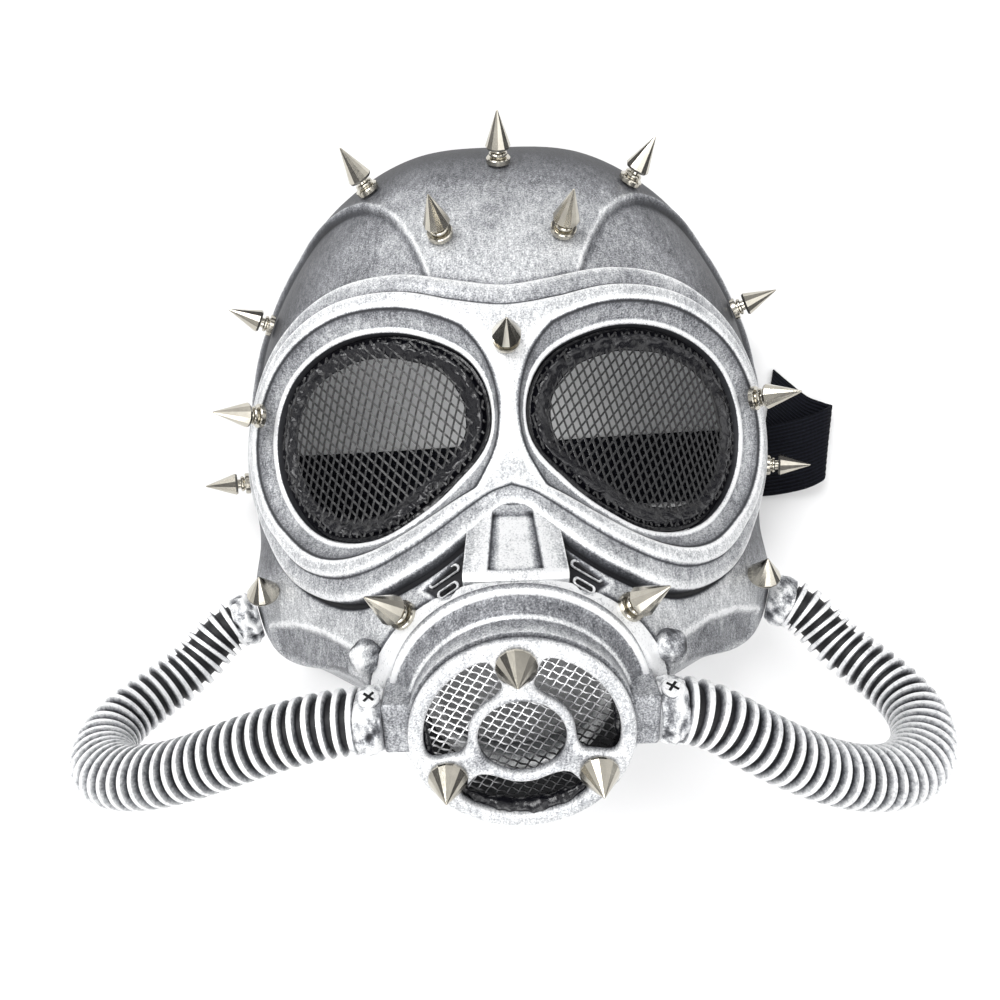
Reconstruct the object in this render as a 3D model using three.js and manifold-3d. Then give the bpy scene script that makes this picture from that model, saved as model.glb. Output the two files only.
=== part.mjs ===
// Gas mask style costume mask, lying face up on its rim. Millimetres, +Z out of the face, +Y to the forehead.
import * as THREE from 'three';
import { mergeVertices } from 'three/addons/utils/BufferGeometryUtils.js';
import Module from 'manifold-3d';

const wasm = await Module();
wasm.setup();

// Driving dimensions of the shell. Its plan is measured from the crown centre, a point between the eyes.
const halfWidth = 91.5;          // centre line to the rim at the side
const foreheadReach = 108.5;     // crown centre to the rim over the forehead
const chinReach = 100;           // crown centre to the rim under the chin
const crownHeight = 80;          // rim plane to the crown
const crownRoundness = 2.2;      // power of the dome's plan section
const shellWall = 2;
const templeDepth = 1.8;         // how far the temple panels lie below the forehead
const templeEdge = 3;            // width of the panel's sloping edge
// Lift of the rim at each side over the strap, cut between two shares of the half width
const strapArch = { height: 4, length: 58, middle: 1, inner: 0.7, outer: 1.2 };

// Driving dimensions of the snout, a tilted mound that carries the canister
const mouthY = -0.565 * chinReach;
const mouthHeight = 92;
const mouthTilt = THREE.MathUtils.degToRad(22);
const collarRadius = 32;
const snout = { slope: 0.9, curve: 0.256, noseSteepness: 1.35, blend: 10 };
const jawBlend = 3;
const mouthHoleRadius = 19;

// Driving dimensions of the goggle surround
const eyeSpacing = 72;
const eyeWidth = 63;
const eyeHeight = 55;
const eyeY = 7.5;
const surroundSide = 13.8;       // eye opening to the surround's edge, at the temple
const surroundTop = 15;          // the same above and below
const surround = { lip: 1, band: 4.5, step: 1.6, bevel: 5.2, outer: 6.5, root: 1, stepSlope: 1 };
const surroundRounding = { drop: 0.45, width: 1.5 };
// Shares of a narrow place that the bevel and the outer step take, and of the bridge between the eyes
const surroundNarrow = { bevel: 0.34, outer: 0.38, bridge: 0.2 };

// Driving dimensions of the fittings
const clearance = 0.3;
const weld = 0.02;                // corners closer than this become one
const meshThickness = 1.2;
const meshDepth = 1;             // mesh below the shell's own surface
const beadWidth = 3.2;
const beadHeight = 2.2;
// Nose panel, rooted in the wall: how far it runs under the surround and where its sunken middle starts and
// ends are shares of its length, and the middle's half width is a base and a share of the panel's
const nose = {
  top: -14, bottom: -29, lift: 2.2, sink: 1.1, root: 1.5,
  under: -0.15, from: 0.08, to: 0.88, base: 2.6, share: 0.27,
};
const vent = { length: 8.6, width: 1.3, turn: THREE.MathUtils.degToRad(-32), depth: 12 };
const flangeRadius = 30.7;
const flangeHeight = 3;
const flangeSlope = 1.2;         // bevels of the flange and of the can's foot
const flangeRise = 3.2;          // from the flange's edge in to the can's foot
const canRadius = 25.4;
const canHeight = 14.8;
const canBore = 21.5;
const canWall = 2.4;
const grille = {
  thickness: 2.4, windowRadius: 21.4, hubOuter: 12, hubBore: 9.8, spoke: 5.2, inset: 0.5, pad: 0.8,
};
const sideBlock = { reach: 30.7, width: 13, height: 11.2, sunk: 1.5 };
const meshLedge = 9.9;           // inside the can, from its back
const spike = { radius: 3.65, length: 14.1, cone: 10.2 };
const stud = { radius: 4.5, height: 7.7 };
const studRing = 19.2;           // studs on the grille, from its middle
const hoseDiameter = 15;
const hoseLead = 4;              // straight stretch at each end of a hose
const socket = { radius: 6.9, length: 4.5, height: 7.6, offset: 1 };
const jawSocket = { x: 0.84, y: -0.424, radius: 7.2, length: 6 };     // place as shares of the shell's reach
const boss = { radius: 4, height: 5, beside: 2.4, above: 11 };      // place from the collar and the mouth
const screwHead = { radius: 2.4, height: 1.3 };
const screwLean = THREE.MathUtils.degToRad(53);
const strapWidth = 25;
const strapThickness = 1.2;
// Plain block that holds the strap down inside the right rim: its middle is so far inside the half width
const strapAnchor = { inside: 8.9, y: 0.5, length: 7.2, width: 18, height: 6 };

// Rim of the shell, right half, from chin to forehead: x and y are shares of the half width and of the reach,
// fullness is the power of the dome's height, wall is how many mm the side rises in each mm inwards
const RIM = [
  { x: 0, y: -1, fullness: 2.2, wall: 5.3 },
  { x: 0.269, y: -0.93, fullness: 2.3, wall: 4.5 },
  { x: 0.514, y: -0.814, fullness: 2.4, wall: 3.2 },
  { x: 0.689, y: -0.725, fullness: 2.4, wall: 2.9 },
  { x: 0.897, y: -0.597, fullness: 2.4, wall: 3.6 },
  { x: 0.961, y: -0.448, fullness: 2.3, wall: 3.8 },
  { x: 0.944, y: -0.232, fullness: 1.9, wall: 5.5 },
  { x: 0.995, y: 0, fullness: 1.5, wall: 9 },
  { x: 0.981, y: 0.222, fullness: 1.55, wall: 20 },
  { x: 0.914, y: 0.445, fullness: 1.75, wall: 30 },
  { x: 0.777, y: 0.655, fullness: 2, wall: 30 },
  { x: 0.579, y: 0.846, fullness: 2.2, wall: 30 },
  { x: 0.309, y: 0.974, fullness: 2.3, wall: 30 },
  { x: 0, y: 1, fullness: 2.3, wall: 30 },
];

// Outer edge of the goggle surround, right half, from the nose to the brow, as shares of its reach
const SURROUND_EDGE = [
  { x: 0, y: -0.344 }, { x: 0.056, y: -0.403 }, { x: 0.137, y: -0.553 }, { x: 0.285, y: -0.79 },
  { x: 0.487, y: -0.987 }, { x: 0.652, y: -0.949 }, { x: 0.815, y: -0.691 }, { x: 0.944, y: -0.309 },
  { x: 0.999, y: 0.085 }, { x: 0.924, y: 0.489 }, { x: 0.776, y: 0.79 }, { x: 0.589, y: 0.96 },
  { x: 0.354, y: 0.998 }, { x: 0.154, y: 0.935 }, { x: 0, y: 0.898 },
];

// Right eye opening, as shares of its half width, every 30 degrees from the temple side
const EYE_EDGE = [1, 0.968, 0.895, 0.87, 0.917, 1.025, 0.994, 0.816, 0.778, 0.86, 0.946, 0.984];

// Right temple panel, from the surround up over the ridge and down the side, as shares of the shell's reach
const TEMPLE = [
  { x: 0.216, y: 0.45 }, { x: 0.235, y: 0.502 }, { x: 0.266, y: 0.562 }, { x: 0.317, y: 0.636 },
  { x: 0.374, y: 0.685 }, { x: 0.44, y: 0.719 }, { x: 0.51, y: 0.728 }, { x: 0.574, y: 0.722 },
  { x: 0.639, y: 0.708 }, { x: 0.72, y: 0.66 }, { x: 0.86, y: 0.49 }, { x: 0.93, y: 0.3 },
  { x: 0.9, y: 0.16 }, { x: 0.6, y: 0.2 }, { x: 0.25, y: 0.3 },
];

// Slots of the right nose vent, from the nose panel's foot, and their lengths as shares of the vent's
const VENT_SLOTS = [{ x: 16.6, above: 1.4, length: 1 }, { x: 15.7, above: -0.9, length: 0.7 }];

// Half widths of the nose panel from its top to its bottom
const NOSE_ROWS = [{ share: 0, half: 5.9 }, { share: 0.35, half: 11.2 }, { share: 1, half: 12.1 }];

// Spikes on necks, by the place of their feet on the shell, as shares of its reach
const SPIKES = [
  { name: 'spike_top', x: 0, y: 0.805, both: false },
  { name: 'spike_brow', x: 0, y: 0.265, both: false },
  { name: 'spike_upper', x: 0.42, y: 0.763, both: true },
  { name: 'spike_forehead', x: 0.178, y: 0.564, both: true },
  { name: 'spike_rim_high', x: 0.825, y: 0.453, both: true },
  { name: 'spike_rim_mid', x: 0.735, y: 0.153, both: true },
  { name: 'spike_rim_low', x: 0.952, y: -0.012, both: true },
  { name: 'spike_cheek', x: 0.281, y: -0.362, both: true },
];
const CORNER_STUD = { x: 0.741, y: -0.342 };
const cornerAxis = new THREE.Vector3(-0.08, 0.7, 0.71).normalize();   // of the one on the right
const cornerRaise = 0.77;        // of what its tilt would need on flat ground, as the shell curves away

// Turned profiles: radius as a share of the piece's, height as a share of the part that it shapes
const SPIKE_FOOT = [
  { radius: 1, up: 0 }, { radius: 1, up: 0.35 }, { radius: 0.66, up: 0.45 }, { radius: 0.66, up: 0.8 },
  { radius: 1, up: 1 },
];
const STUD_FOOT = [{ radius: 1, up: 0 }, { radius: 1, up: 0.08 }];
const BOSS_PROFILE = [
  { radius: 1, up: 0 }, { radius: 1, up: 0.35 }, { radius: 0.8, up: 0.74 }, { radius: 0.4, up: 0.95 },
];
const SCREW_PROFILE = [{ radius: 1, up: 0 }, { radius: 1, up: 0.5 }, { radius: 0.6, up: 1 }];
// Section of the glue bead, inwards from the opening's wall and up
const BEAD_SECTION = [
  { in: 0, up: 0 }, { in: 0, up: 0.7 }, { in: 0.45, up: 1 }, { in: 0.9, up: 0.6 }, { in: 1, up: 0 },
];

// Routes of the hoses between their two straight ends, each written as on the right: chosen points on one
// smooth curve, each by how many hose diameters it lies off an even step along the line from end to end. The
// right one hangs lower and nearer.
const HOSE_ROUTES = {
  right: [
    { x: 0.66, y: -0.52, z: -0.09 }, { x: 1.29, y: -0.78, z: -0.09 }, { x: 1.9, y: -1.01, z: -0.01 },
    { x: 2.39, y: -1.25, z: 0.11 }, { x: 2.63, y: -1.48, z: 0.29 }, { x: 2.57, y: -1.68, z: 0.48 },
    { x: 2.24, y: -1.73, z: 0.59 }, { x: 1.68, y: -1.52, z: 0.6 }, { x: 1.05, y: -1.1, z: 0.49 },
    { x: 0.48, y: -0.54, z: 0.29 },
  ],
  left: [
    { x: 0.65, y: -0.5, z: -0.09 }, { x: 1.31, y: -0.74, z: -0.09 }, { x: 1.98, y: -0.93, z: -0.01 },
    { x: 2.55, y: -1.12, z: 0.11 }, { x: 2.86, y: -1.3, z: 0.29 }, { x: 2.84, y: -1.41, z: 0.5 },
    { x: 2.46, y: -1.33, z: 0.61 }, { x: 1.8, y: -1.04, z: 0.6 }, { x: 1.07, y: -0.6, z: 0.49 },
    { x: 0.46, y: -0.23, z: 0.29 },
  ],
};

// Route of the strap, from the left wall under the eyes to its cut end outside the right rim: x as a share of
// the half width, y in band widths, up in heights of the arch, and the heading of the band's width there, in
// degrees from +Y towards +X
const STRAP_ROUTE = [
  { x: -0.896, y: -0.16, up: 3.52, turn: -6 }, { x: -0.914, y: -0.16, up: 2.02, turn: -6 },
  { x: -0.903, y: -0.16, up: 0.62, turn: -5 }, { x: -0.831, y: -0.16, up: 0.1, turn: -2 },
  { x: -0.437, y: -0.14, up: 0.07, turn: -3 }, { x: 0.0, y: -0.09, up: 0.07, turn: -4 },
  { x: 0.492, y: -0.03, up: 0.07, turn: -6 }, { x: 0.86, y: 0.0, up: 0.07, turn: -7 },
  { x: 0.955, y: 0.01, up: 0.08, turn: -7 },
  { x: 1.038, y: 0.03, up: 0.6, turn: -7 }, { x: 1.137, y: 0.1, up: 1.5, turn: -3 },
  { x: 1.208, y: 0.2, up: 1.95, turn: 3 }, { x: 1.24, y: 0.28, up: 1.3, turn: 9 },
  { x: 1.222, y: 0.34, up: 0.45, turn: 12 }, { x: 1.16, y: 0.45, up: 0.1, turn: 13 },
  { x: 1.09, y: 0.67, up: 0.07, turn: 12 }, { x: 1.04, y: 0.85, up: 0.07, turn: 10 },
];

// Mesh fineness
const SHELL_TURNS = 66;
const SHELL_RINGS = [0.05, 0.1, 0.15, 0.2, 0.26, 0.33, 0.41, 0.5, 0.6, 0.7, 0.79, 0.87, 0.94, 0.985];
const SURROUND_TURNS = 40;
const SURROUND_RINGS = [0, 0.15, 0.36, 0.6, 0.72, 0.92, 1];
const UNDER_RINGS = [1, 0.5, 0];
const MESH_RINGS = [0.4, 0.75, 1];
const NOSE_COLUMNS = [-1, -0.5, 0, 0.5, 1];
const NOSE_STEPS = 6;
const OUTLINE_TURNS = 72;
const FOOT_SPOTS = 6;
const MOUTH_TURNS = 32;
const EYE_TURNS = 32;
const BEAD_TURNS = 26;
const CAN_TURNS = 28;
const HOSE_STEPS = 22;
const HOSE_SIDES = 9;
const STRAP_STEPS = 40;
const SPIKE_SIDES = 8;
const STUD_SIDES = 12;
const BOSS_SIDES = 14;
const SOCKET_SIDES = 16;
const normalStep = 0.4;          // over which the shell's slope is measured
const searchStep = 0.25;

// Smooth curve through rising places and their values: a cubic with averaged slopes
function smoothCurve(places, values) {
  const last = places.length - 1;
  const slope = (i) => {
    const a = Math.max(i - 1, 0);
    const b = Math.min(i + 1, last);
    if (a === i || b === i) return (values[b] - values[a]) / (places[b] - places[a]);
    const before = places[i] - places[a];
    const after = places[b] - places[i];
    const [rise, climb] = [(values[i] - values[a]) / before, (values[b] - values[i]) / after];
    return (climb * before + rise * after) / (before + after);
  };
  return (p) => {
    let i = 0;
    while (i < last - 1 && p > places[i + 1]) i += 1;
    const span = places[i + 1] - places[i];
    const t = THREE.MathUtils.clamp((p - places[i]) / span, 0, 1);
    const rise = span * slope(i) * t * (1 - t) ** 2 - span * slope(i + 1) * t * t * (1 - t);
    return values[i] + (values[i + 1] - values[i]) * t * t * (3 - 2 * t) + rise;
  };
}

// Plan of a share on the shell, in mm
const planX = (share) => share * halfWidth;
const planY = (share) => share * (share > 0 ? foreheadReach : chinReach);

// A half outline given from bottom to top becomes a radius for each angle, the same on both sides
function mirroredTable(points, values) {
  const angles = points.map((p) => Math.atan2(p.y, p.x));
  const n = points.length;
  const extendedAngles = [-Math.PI - angles[1], ...angles, Math.PI - angles[n - 2]];
  const extended = [values[1], ...values, values[n - 2]];
  const curve = smoothCurve(extendedAngles, extended);
  return (x, y) => curve(Math.atan2(y, Math.abs(x)));
}

const rimPoints = RIM.map((row) => ({ x: planX(row.x), y: planY(row.y) }));
const rimRadius = mirroredTable(rimPoints, rimPoints.map((p) => Math.hypot(p.x, p.y)));
const rimFullness = mirroredTable(rimPoints, RIM.map((row) => row.fullness));
const rimWall = mirroredTable(rimPoints, RIM.map((row) => row.wall));

const surroundReach = {
  side: eyeSpacing / 2 + eyeWidth / 2 + surroundSide,
  top: eyeY + eyeHeight / 2 + surroundTop,
  bottom: surroundTop + eyeHeight / 2 - eyeY,
};
const surroundPoints = SURROUND_EDGE.map((row) => ({
  x: row.x * surroundReach.side,
  y: row.y * (row.y > 0 ? surroundReach.top : surroundReach.bottom),
}));
const surroundRadius = mirroredTable(surroundPoints, surroundPoints.map((p) => Math.hypot(p.x, p.y)));

// Right eye opening: radius about its own centre
const eyeStep = 2 * Math.PI / EYE_EDGE.length;
const eyeAngles = Array.from({ length: EYE_EDGE.length + 3 }, (_, i) => (i - 1) * eyeStep);
const eyeShares = eyeAngles.map((_, i) => EYE_EDGE[(i - 1 + EYE_EDGE.length) % EYE_EDGE.length]);
const eyeCurve = smoothCurve(eyeAngles, eyeShares);
const turnsOf = (count) => Array.from({ length: count }, (_, i) => i * 2 * Math.PI / count);
const eyeRises = turnsOf(OUTLINE_TURNS).map((turn) => eyeCurve(turn) * Math.sin(turn));
const eyeStretch = eyeHeight / (eyeWidth * (Math.max(...eyeRises) - Math.min(...eyeRises)) / 2);
function eyePoint(angle, inset) {
  const turn = ((angle % (2 * Math.PI)) + 2 * Math.PI) % (2 * Math.PI);
  const radius = eyeCurve(turn) * eyeWidth / 2 - inset;
  return { x: eyeSpacing / 2 + radius * Math.cos(turn), y: eyeY + radius * Math.sin(turn) * eyeStretch };
}

// Larger and smaller of two heights, rounded where they meet
function smoothMax(a, b, blend) {
  const h = THREE.MathUtils.clamp(0.5 + 0.5 * (a - b) / blend, 0, 1);
  return b + (a - b) * h + blend * h * (1 - h);
}
const smoothMin = (a, b, blend) => -smoothMax(-a, -b, blend);

// Height of the shell's main form: a dome, joined by the snout's mound and held in by the side wall
function shellHeight(x, y) {
  const radius = Math.hypot(x, y);
  const rim = rimRadius(x, y);
  const share = Math.min(radius / rim, 1);
  const dome = crownHeight * (1 - share ** crownRoundness) ** (1 / rimFullness(x, y));
  const up = y - mouthY;
  const away = Math.hypot(x, up > 0 ? up * snout.noseSteepness : up);
  const past = Math.max(away - collarRadius, 0);
  const mound = mouthHeight + Math.tan(mouthTilt) * up - snout.slope * past
    - snout.curve * past * past / collarRadius;
  const whole = smoothMax(dome, mound, snout.blend);
  return Math.max(smoothMin(whole, rimWall(x, y) * (rim - radius), jawBlend), 0);
}

// Outward normal of the main form, taken a little inside the rim
function shellNormal(x, y) {
  const step = normalStep;
  const share = Math.min((rimRadius(x, y) - 2 * step) / Math.hypot(x, y), 1);
  const px = x * share;
  const py = y * share;
  const dx = (shellHeight(px + step, py) - shellHeight(px - step, py)) / (2 * step);
  const dy = (shellHeight(px, py + step) - shellHeight(px, py - step)) / (2 * step);
  return new THREE.Vector3(-dx, -dy, 1).normalize();
}

function shellPoint(x, y, lift) {
  return new THREE.Vector3(x, y, shellHeight(x, y)).addScaledVector(shellNormal(x, y), lift);
}

// Distance from a point to a closed outline, and whether it lies inside
function distanceTo(outline, x, y) {
  let best = Infinity;
  let inside = false;
  for (let i = 0, j = outline.length - 1; i < outline.length; j = i, i += 1) {
    const a = outline[j];
    const b = outline[i];
    const lengthSquared = (b.x - a.x) ** 2 + (b.y - a.y) ** 2;
    const along = ((x - a.x) * (b.x - a.x) + (y - a.y) * (b.y - a.y)) / lengthSquared;
    const t = THREE.MathUtils.clamp(along, 0, 1);
    best = Math.min(best, Math.hypot(x - a.x - t * (b.x - a.x), y - a.y - t * (b.y - a.y)));
    if ((a.y > y) !== (b.y > y) && x < (b.x - a.x) * (y - a.y) / (b.y - a.y) + a.x) inside = !inside;
  }
  return inside ? best : -best;
}

const templeOutline = TEMPLE.map((row) => ({ x: planX(row.x), y: planY(row.y) }));
const eyeOutline = turnsOf(OUTLINE_TURNS).map((angle) => eyePoint(angle, 0));
const surroundOutline = turnsOf(OUTLINE_TURNS * 2).map((angle) => {
  const radius = surroundRadius(Math.cos(angle), Math.sin(angle));
  return { x: radius * Math.cos(angle), y: radius * Math.sin(angle) };
});

// Relief of the bare shell: the sunken temple panels
function shellRelief(x, y) {
  const inside = distanceTo(templeOutline, Math.abs(x), y);
  return -templeDepth * THREE.MathUtils.smoothstep(inside, 0, templeEdge);
}

// Relief of the goggle surround: a bevel down to each eye, a raised band and a lower outer step
function surroundRelief(x, y) {
  const toEye = Math.max(-distanceTo(eyeOutline, Math.abs(x), y), 0);
  const toOther = Math.max(-distanceTo(eyeOutline, -Math.abs(x), y), 0);
  const toEdge = Math.max(distanceTo(surroundOutline, x, y), 0);
  const across = toEye + toEdge;
  const bridge = surroundNarrow.bridge * (toEye + toOther);
  const bevel = Math.min(surroundNarrow.bevel * across, surround.bevel, bridge);
  const outer = Math.min(surroundNarrow.outer * across, surround.outer);
  const soft = surround.stepSlope / 2;
  const rise = (surround.band - surround.lip) * THREE.MathUtils.smoothstep(toEye, 0, bevel);
  const step = surround.step * (1 - THREE.MathUtils.smoothstep(toEdge, outer - soft, outer + soft));
  const rounded = 1 - THREE.MathUtils.smoothstep(toEdge, 0, surroundRounding.width);
  return surround.lip + rise - step - surroundRounding.drop * rounded;
}

const arraysOf = (geometry) => {
  return [Array.from(geometry.attributes.position.array), Array.from(geometry.index.array)];
};

// Geometry from corners and faces, turned so that its faces point outwards
function bodyFrom(positions, corners) {
  const index = corners.filter((_, i) => {
    const [a, b, c] = corners.slice(i - (i % 3), i - (i % 3) + 3);
    return a !== b && b !== c && a !== c;
  });
  let volume = 0;
  for (let i = 0; i < index.length; i += 3) {
    const [a, b, c] = [0, 1, 2].map((k) => new THREE.Vector3().fromArray(positions, index[i + k] * 3));
    volume += a.dot(b.cross(c));
  }
  const faces = volume < 0 ? index.map((_, i) => index[i - (i % 3) + 2 - (i % 3)]) : index;
  const geometry = new THREE.BufferGeometry();
  geometry.setAttribute('position', new THREE.Float32BufferAttribute(positions, 3));
  geometry.setIndex(faces);
  return geometry;
}

// Closed solid from closed loops of equal length: each joins the next, and the two ends are fanned shut
function loopSolid(loops, startPole, endPole) {
  const count = loops[0].length;
  const positions = [];
  const index = [];
  for (const loop of loops) {
    for (const p of loop) positions.push(p.x, p.y, p.z);
  }
  for (let j = 0; j + 1 < loops.length; j += 1) {
    for (let i = 0; i < count; i += 1) {
      const k = (i + 1) % count;
      const [a, b, c, d] = [j * count + i, j * count + k, (j + 1) * count + k, (j + 1) * count + i];
      index.push(a, b, c, a, c, d);
    }
  }
  const first = loops.length * count;
  positions.push(startPole.x, startPole.y, startPole.z, endPole.x, endPole.y, endPole.z);
  const lastLoop = (loops.length - 1) * count;
  for (let i = 0; i < count; i += 1) {
    const k = (i + 1) % count;
    index.push(first, k, i, first + 1, lastLoop + i, lastLoop + k);
  }
  return bodyFrom(positions, index);
}

// Closed ring from closed loops of equal length, the last joining the first
function ringSolid(loops) {
  const count = loops[0].length;
  const positions = loops.flatMap((loop) => loop.flatMap((p) => [p.x, p.y, p.z]));
  const index = [];
  for (let j = 0; j < loops.length; j += 1) {
    const next = (j + 1) % loops.length;
    for (let i = 0; i < count; i += 1) {
      const k = (i + 1) % count;
      const [a, b, c, d] = [j * count + i, j * count + k, next * count + k, next * count + i];
      index.push(a, b, c, a, c, d);
    }
  }
  return bodyFrom(positions, index);
}

function toManifold(geometry) {
  const bare = geometry.clone();
  bare.deleteAttribute('normal');
  bare.deleteAttribute('uv');
  const merged = mergeVertices(bare, 1e-4);
  return new wasm.Manifold(new wasm.Mesh({
    numProp: 3,
    vertProperties: new Float32Array(merged.attributes.position.array),
    triVerts: new Uint32Array(merged.index.array),
    tolerance: weld,
  }));
}

function fromManifold(manifold) {
  const mesh = manifold.getMesh();
  return bodyFrom(Array.from(mesh.vertProperties), Array.from(mesh.triVerts));
}

// Copy of a geometry on the other side of the centre line
function mirrored(geometry) {
  const copy = geometry.clone().applyMatrix4(new THREE.Matrix4().makeScale(-1, 1, 1));
  return bodyFrom(...arraysOf(copy));
}

function plain(geometry) {
  const bare = geometry.clone();
  bare.deleteAttribute('normal');
  bare.deleteAttribute('uv');
  return mergeVertices(bare, 1e-4);
}

// The bare dome with its wall, as closed loops from the crown over the rim and back up inside
function domeSolid() {
  const loopAt = (share, lift) => turnsOf(SHELL_TURNS).map((angle) => {
    const radius = share * rimRadius(Math.cos(angle), Math.sin(angle));
    const x = radius * Math.cos(angle);
    const y = radius * Math.sin(angle);
    return shellPoint(x, y, shellRelief(x, y) + lift);
  });
  const rimLoop = (inset) => turnsOf(SHELL_TURNS).map((angle) => {
    const radius = rimRadius(Math.cos(angle), Math.sin(angle)) - inset;
    return new THREE.Vector3(radius * Math.cos(angle), radius * Math.sin(angle), 0);
  });
  const outer = SHELL_RINGS.map((share) => loopAt(share, 0));
  const inner = SHELL_RINGS.map((share) => loopAt(share, -shellWall)).reverse();
  const [crown, innerCrown] = [0, -shellWall].map((lift) => shellPoint(weld, 0, lift));
  return loopSolid([...outer, rimLoop(0), rimLoop(shellWall), ...inner], crown, innerCrown);
}

// Right half of the goggle surround: loops from inside the eye opening to its outer edge and back below
function surroundSolid() {
  const centre = eyePoint(0, eyeWidth / 2);
  const reachOf = (angle) => {
    const [cx, cy] = [Math.cos(angle), Math.sin(angle)];
    const toCentreLine = cx < 0 ? -centre.x / cx : Infinity;
    let [reach, step] = [0, searchStep];
    while (step > weld / 8) {
      const next = reach + step;
      if (distanceTo(surroundOutline, centre.x + next * cx, centre.y + next * cy) > 0) reach = next;
      else step /= 2;
      if (reach > toCentreLine) return toCentreLine;
    }
    return reach;
  };
  const turns = turnsOf(SURROUND_TURNS);
  const reaches = turns.map(reachOf);
  const loopAt = (share, lift) => turns.map((angle, i) => {
    const edge = eyePoint(angle, surround.lip);
    const start = Math.hypot(edge.x - centre.x, edge.y - centre.y);
    const radius = start + (reaches[i] - start) * share;
    const along = centre.x + radius * Math.cos(angle);
    const x = along < weld / 8 ? 0 : along;
    const y = centre.y + radius * Math.sin(angle);
    return shellPoint(x, y, lift === null ? surroundRelief(x, y) : lift);
  });
  const top = SURROUND_RINGS.map((share) => loopAt(share, null));
  const under = UNDER_RINGS.map((share) => loopAt(share, -surround.root));
  return ringSolid([...top, ...under]);
}

// Column through the shell in the plan of the right eye opening
function eyeColumn(inset) {
  const outline = turnsOf(EYE_TURNS).map((angle) => eyePoint(angle, inset));
  const shape = new THREE.Shape(outline.map((p) => new THREE.Vector2(p.x, p.y)));
  return new THREE.ExtrudeGeometry(shape, { depth: crownHeight * 2, bevelEnabled: false });
}

// Raised panel over the nose, following the shell, with a sunken middle
function nosePanel(halfShare, from, to, lift, root) {
  const half = smoothCurve(NOSE_ROWS.map((row) => row.share), NOSE_ROWS.map((row) => row.half));
  const sheet = (height) => Array.from({ length: NOSE_STEPS }, (_, j) => {
    const share = from + (to - from) * j / (NOSE_STEPS - 1);
    const y = nose.top + (nose.bottom - nose.top) * share;
    return NOSE_COLUMNS.map((column) => shellPoint(column * halfShare(half(share)), y, height));
  });
  const loops = sheet(lift).map((row, j) => [...row, ...sheet(root)[j].reverse()]);
  const middle = (loop) => loop.reduce((sum, p) => sum.add(p), new THREE.Vector3()).divideScalar(loop.length);
  return loopSolid(loops, middle(loops[0]), middle(loops[NOSE_STEPS - 1]));
}

// Slot of a nose vent, a box standing through the wall
function ventSlot(row) {
  const y = nose.bottom + row.above;
  const slot = new THREE.BoxGeometry(vent.length * row.length, vent.width, vent.depth).rotateZ(vent.turn);
  return plain(slot.translate(row.x, y, shellHeight(row.x, y)));
}

// Half disc under the right rim, through the side wall, in which the strap passes
function archCut() {
  const outline = turnsOf(24).map((angle) => new THREE.Vector2(
    Math.cos(angle) * strapArch.length / 2 + strapArch.middle,
    Math.sin(angle) * strapArch.height,
  ));
  const depth = (strapArch.outer - strapArch.inner) * halfWidth;
  const cut = new THREE.ExtrudeGeometry(new THREE.Shape(outline), { depth, bevelEnabled: false });
  const yzToSide = new THREE.Matrix4().makeBasis(
    new THREE.Vector3(0, 1, 0), new THREE.Vector3(0, 0, 1), new THREE.Vector3(1, 0, 0),
  );
  return plain(cut.applyMatrix4(yzToSide).translate(strapArch.inner * halfWidth, 0, 0));
}

// Place along the canister's axis, which leans towards the chin
function onMouth(x, y, height) {
  const along = new THREE.Vector3(x, y, height).applyAxisAngle(new THREE.Vector3(1, 0, 0), mouthTilt);
  return along.add(new THREE.Vector3(0, mouthY, mouthHeight));
}
const mouthMatrix = new THREE.Matrix4().makeRotationX(mouthTilt).setPosition(0, mouthY, mouthHeight);

function faceShell() {
  let shell = toManifold(domeSolid());
  const panel = nosePanel((half) => half, nose.under, 1, nose.lift, -nose.root);
  const narrower = (half) => nose.base + half * nose.share;
  const middle = nosePanel(narrower, nose.from, nose.to, nose.lift + 1, nose.sink);
  const bothSides = (geometry) => [toManifold(geometry), toManifold(mirrored(geometry))];
  for (const half of bothSides(surroundSolid())) shell = shell.add(half);
  shell = shell.add(toManifold(panel)).subtract(toManifold(middle));
  const cuts = [plain(eyeColumn(0)), archCut(), ...VENT_SLOTS.map(ventSlot)].flatMap(bothSides);
  for (const cut of cuts) shell = shell.subtract(cut);
  const mouth = new THREE.CylinderGeometry(mouthHoleRadius, mouthHoleRadius, mouthHeight, MOUTH_TURNS);
  shell = shell.subtract(toManifold(plain(mouth.rotateX(Math.PI / 2).applyMatrix4(mouthMatrix))));
  return fromManifold(shell);
}

// Domed plate of mesh in the right eye opening, a gap clear of its wall
function eyeMesh() {
  const centre = eyePoint(0, eyeWidth / 2);
  const loopAt = (share, drop) => turnsOf(EYE_TURNS).map((angle) => {
    const edge = eyePoint(angle, clearance);
    const x = centre.x + (edge.x - centre.x) * share;
    const y = centre.y + (edge.y - centre.y) * share;
    return new THREE.Vector3(x, y, shellHeight(x, y) - drop);
  });
  const low = meshDepth + meshThickness;
  const top = MESH_RINGS.map((share) => loopAt(share, meshDepth));
  const under = [...MESH_RINGS].reverse().slice(0, -1).map((share) => loopAt(share, low));
  const pole = (drop) => new THREE.Vector3(centre.x, centre.y, shellHeight(centre.x, centre.y) - drop);
  return loopSolid([...top, ...under], pole(meshDepth), pole(low));
}

// Bead of glue that lies on the mesh along the opening's wall
function eyeBead() {
  const loops = turnsOf(BEAD_TURNS).map((angle) => BEAD_SECTION.map((row) => {
    const p = eyePoint(angle, clearance + row.in * beadWidth);
    return new THREE.Vector3(p.x, p.y, shellHeight(p.x, p.y) - meshDepth + clearance + row.up * beadHeight);
  }));
  return ringSolid(loops);
}

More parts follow.
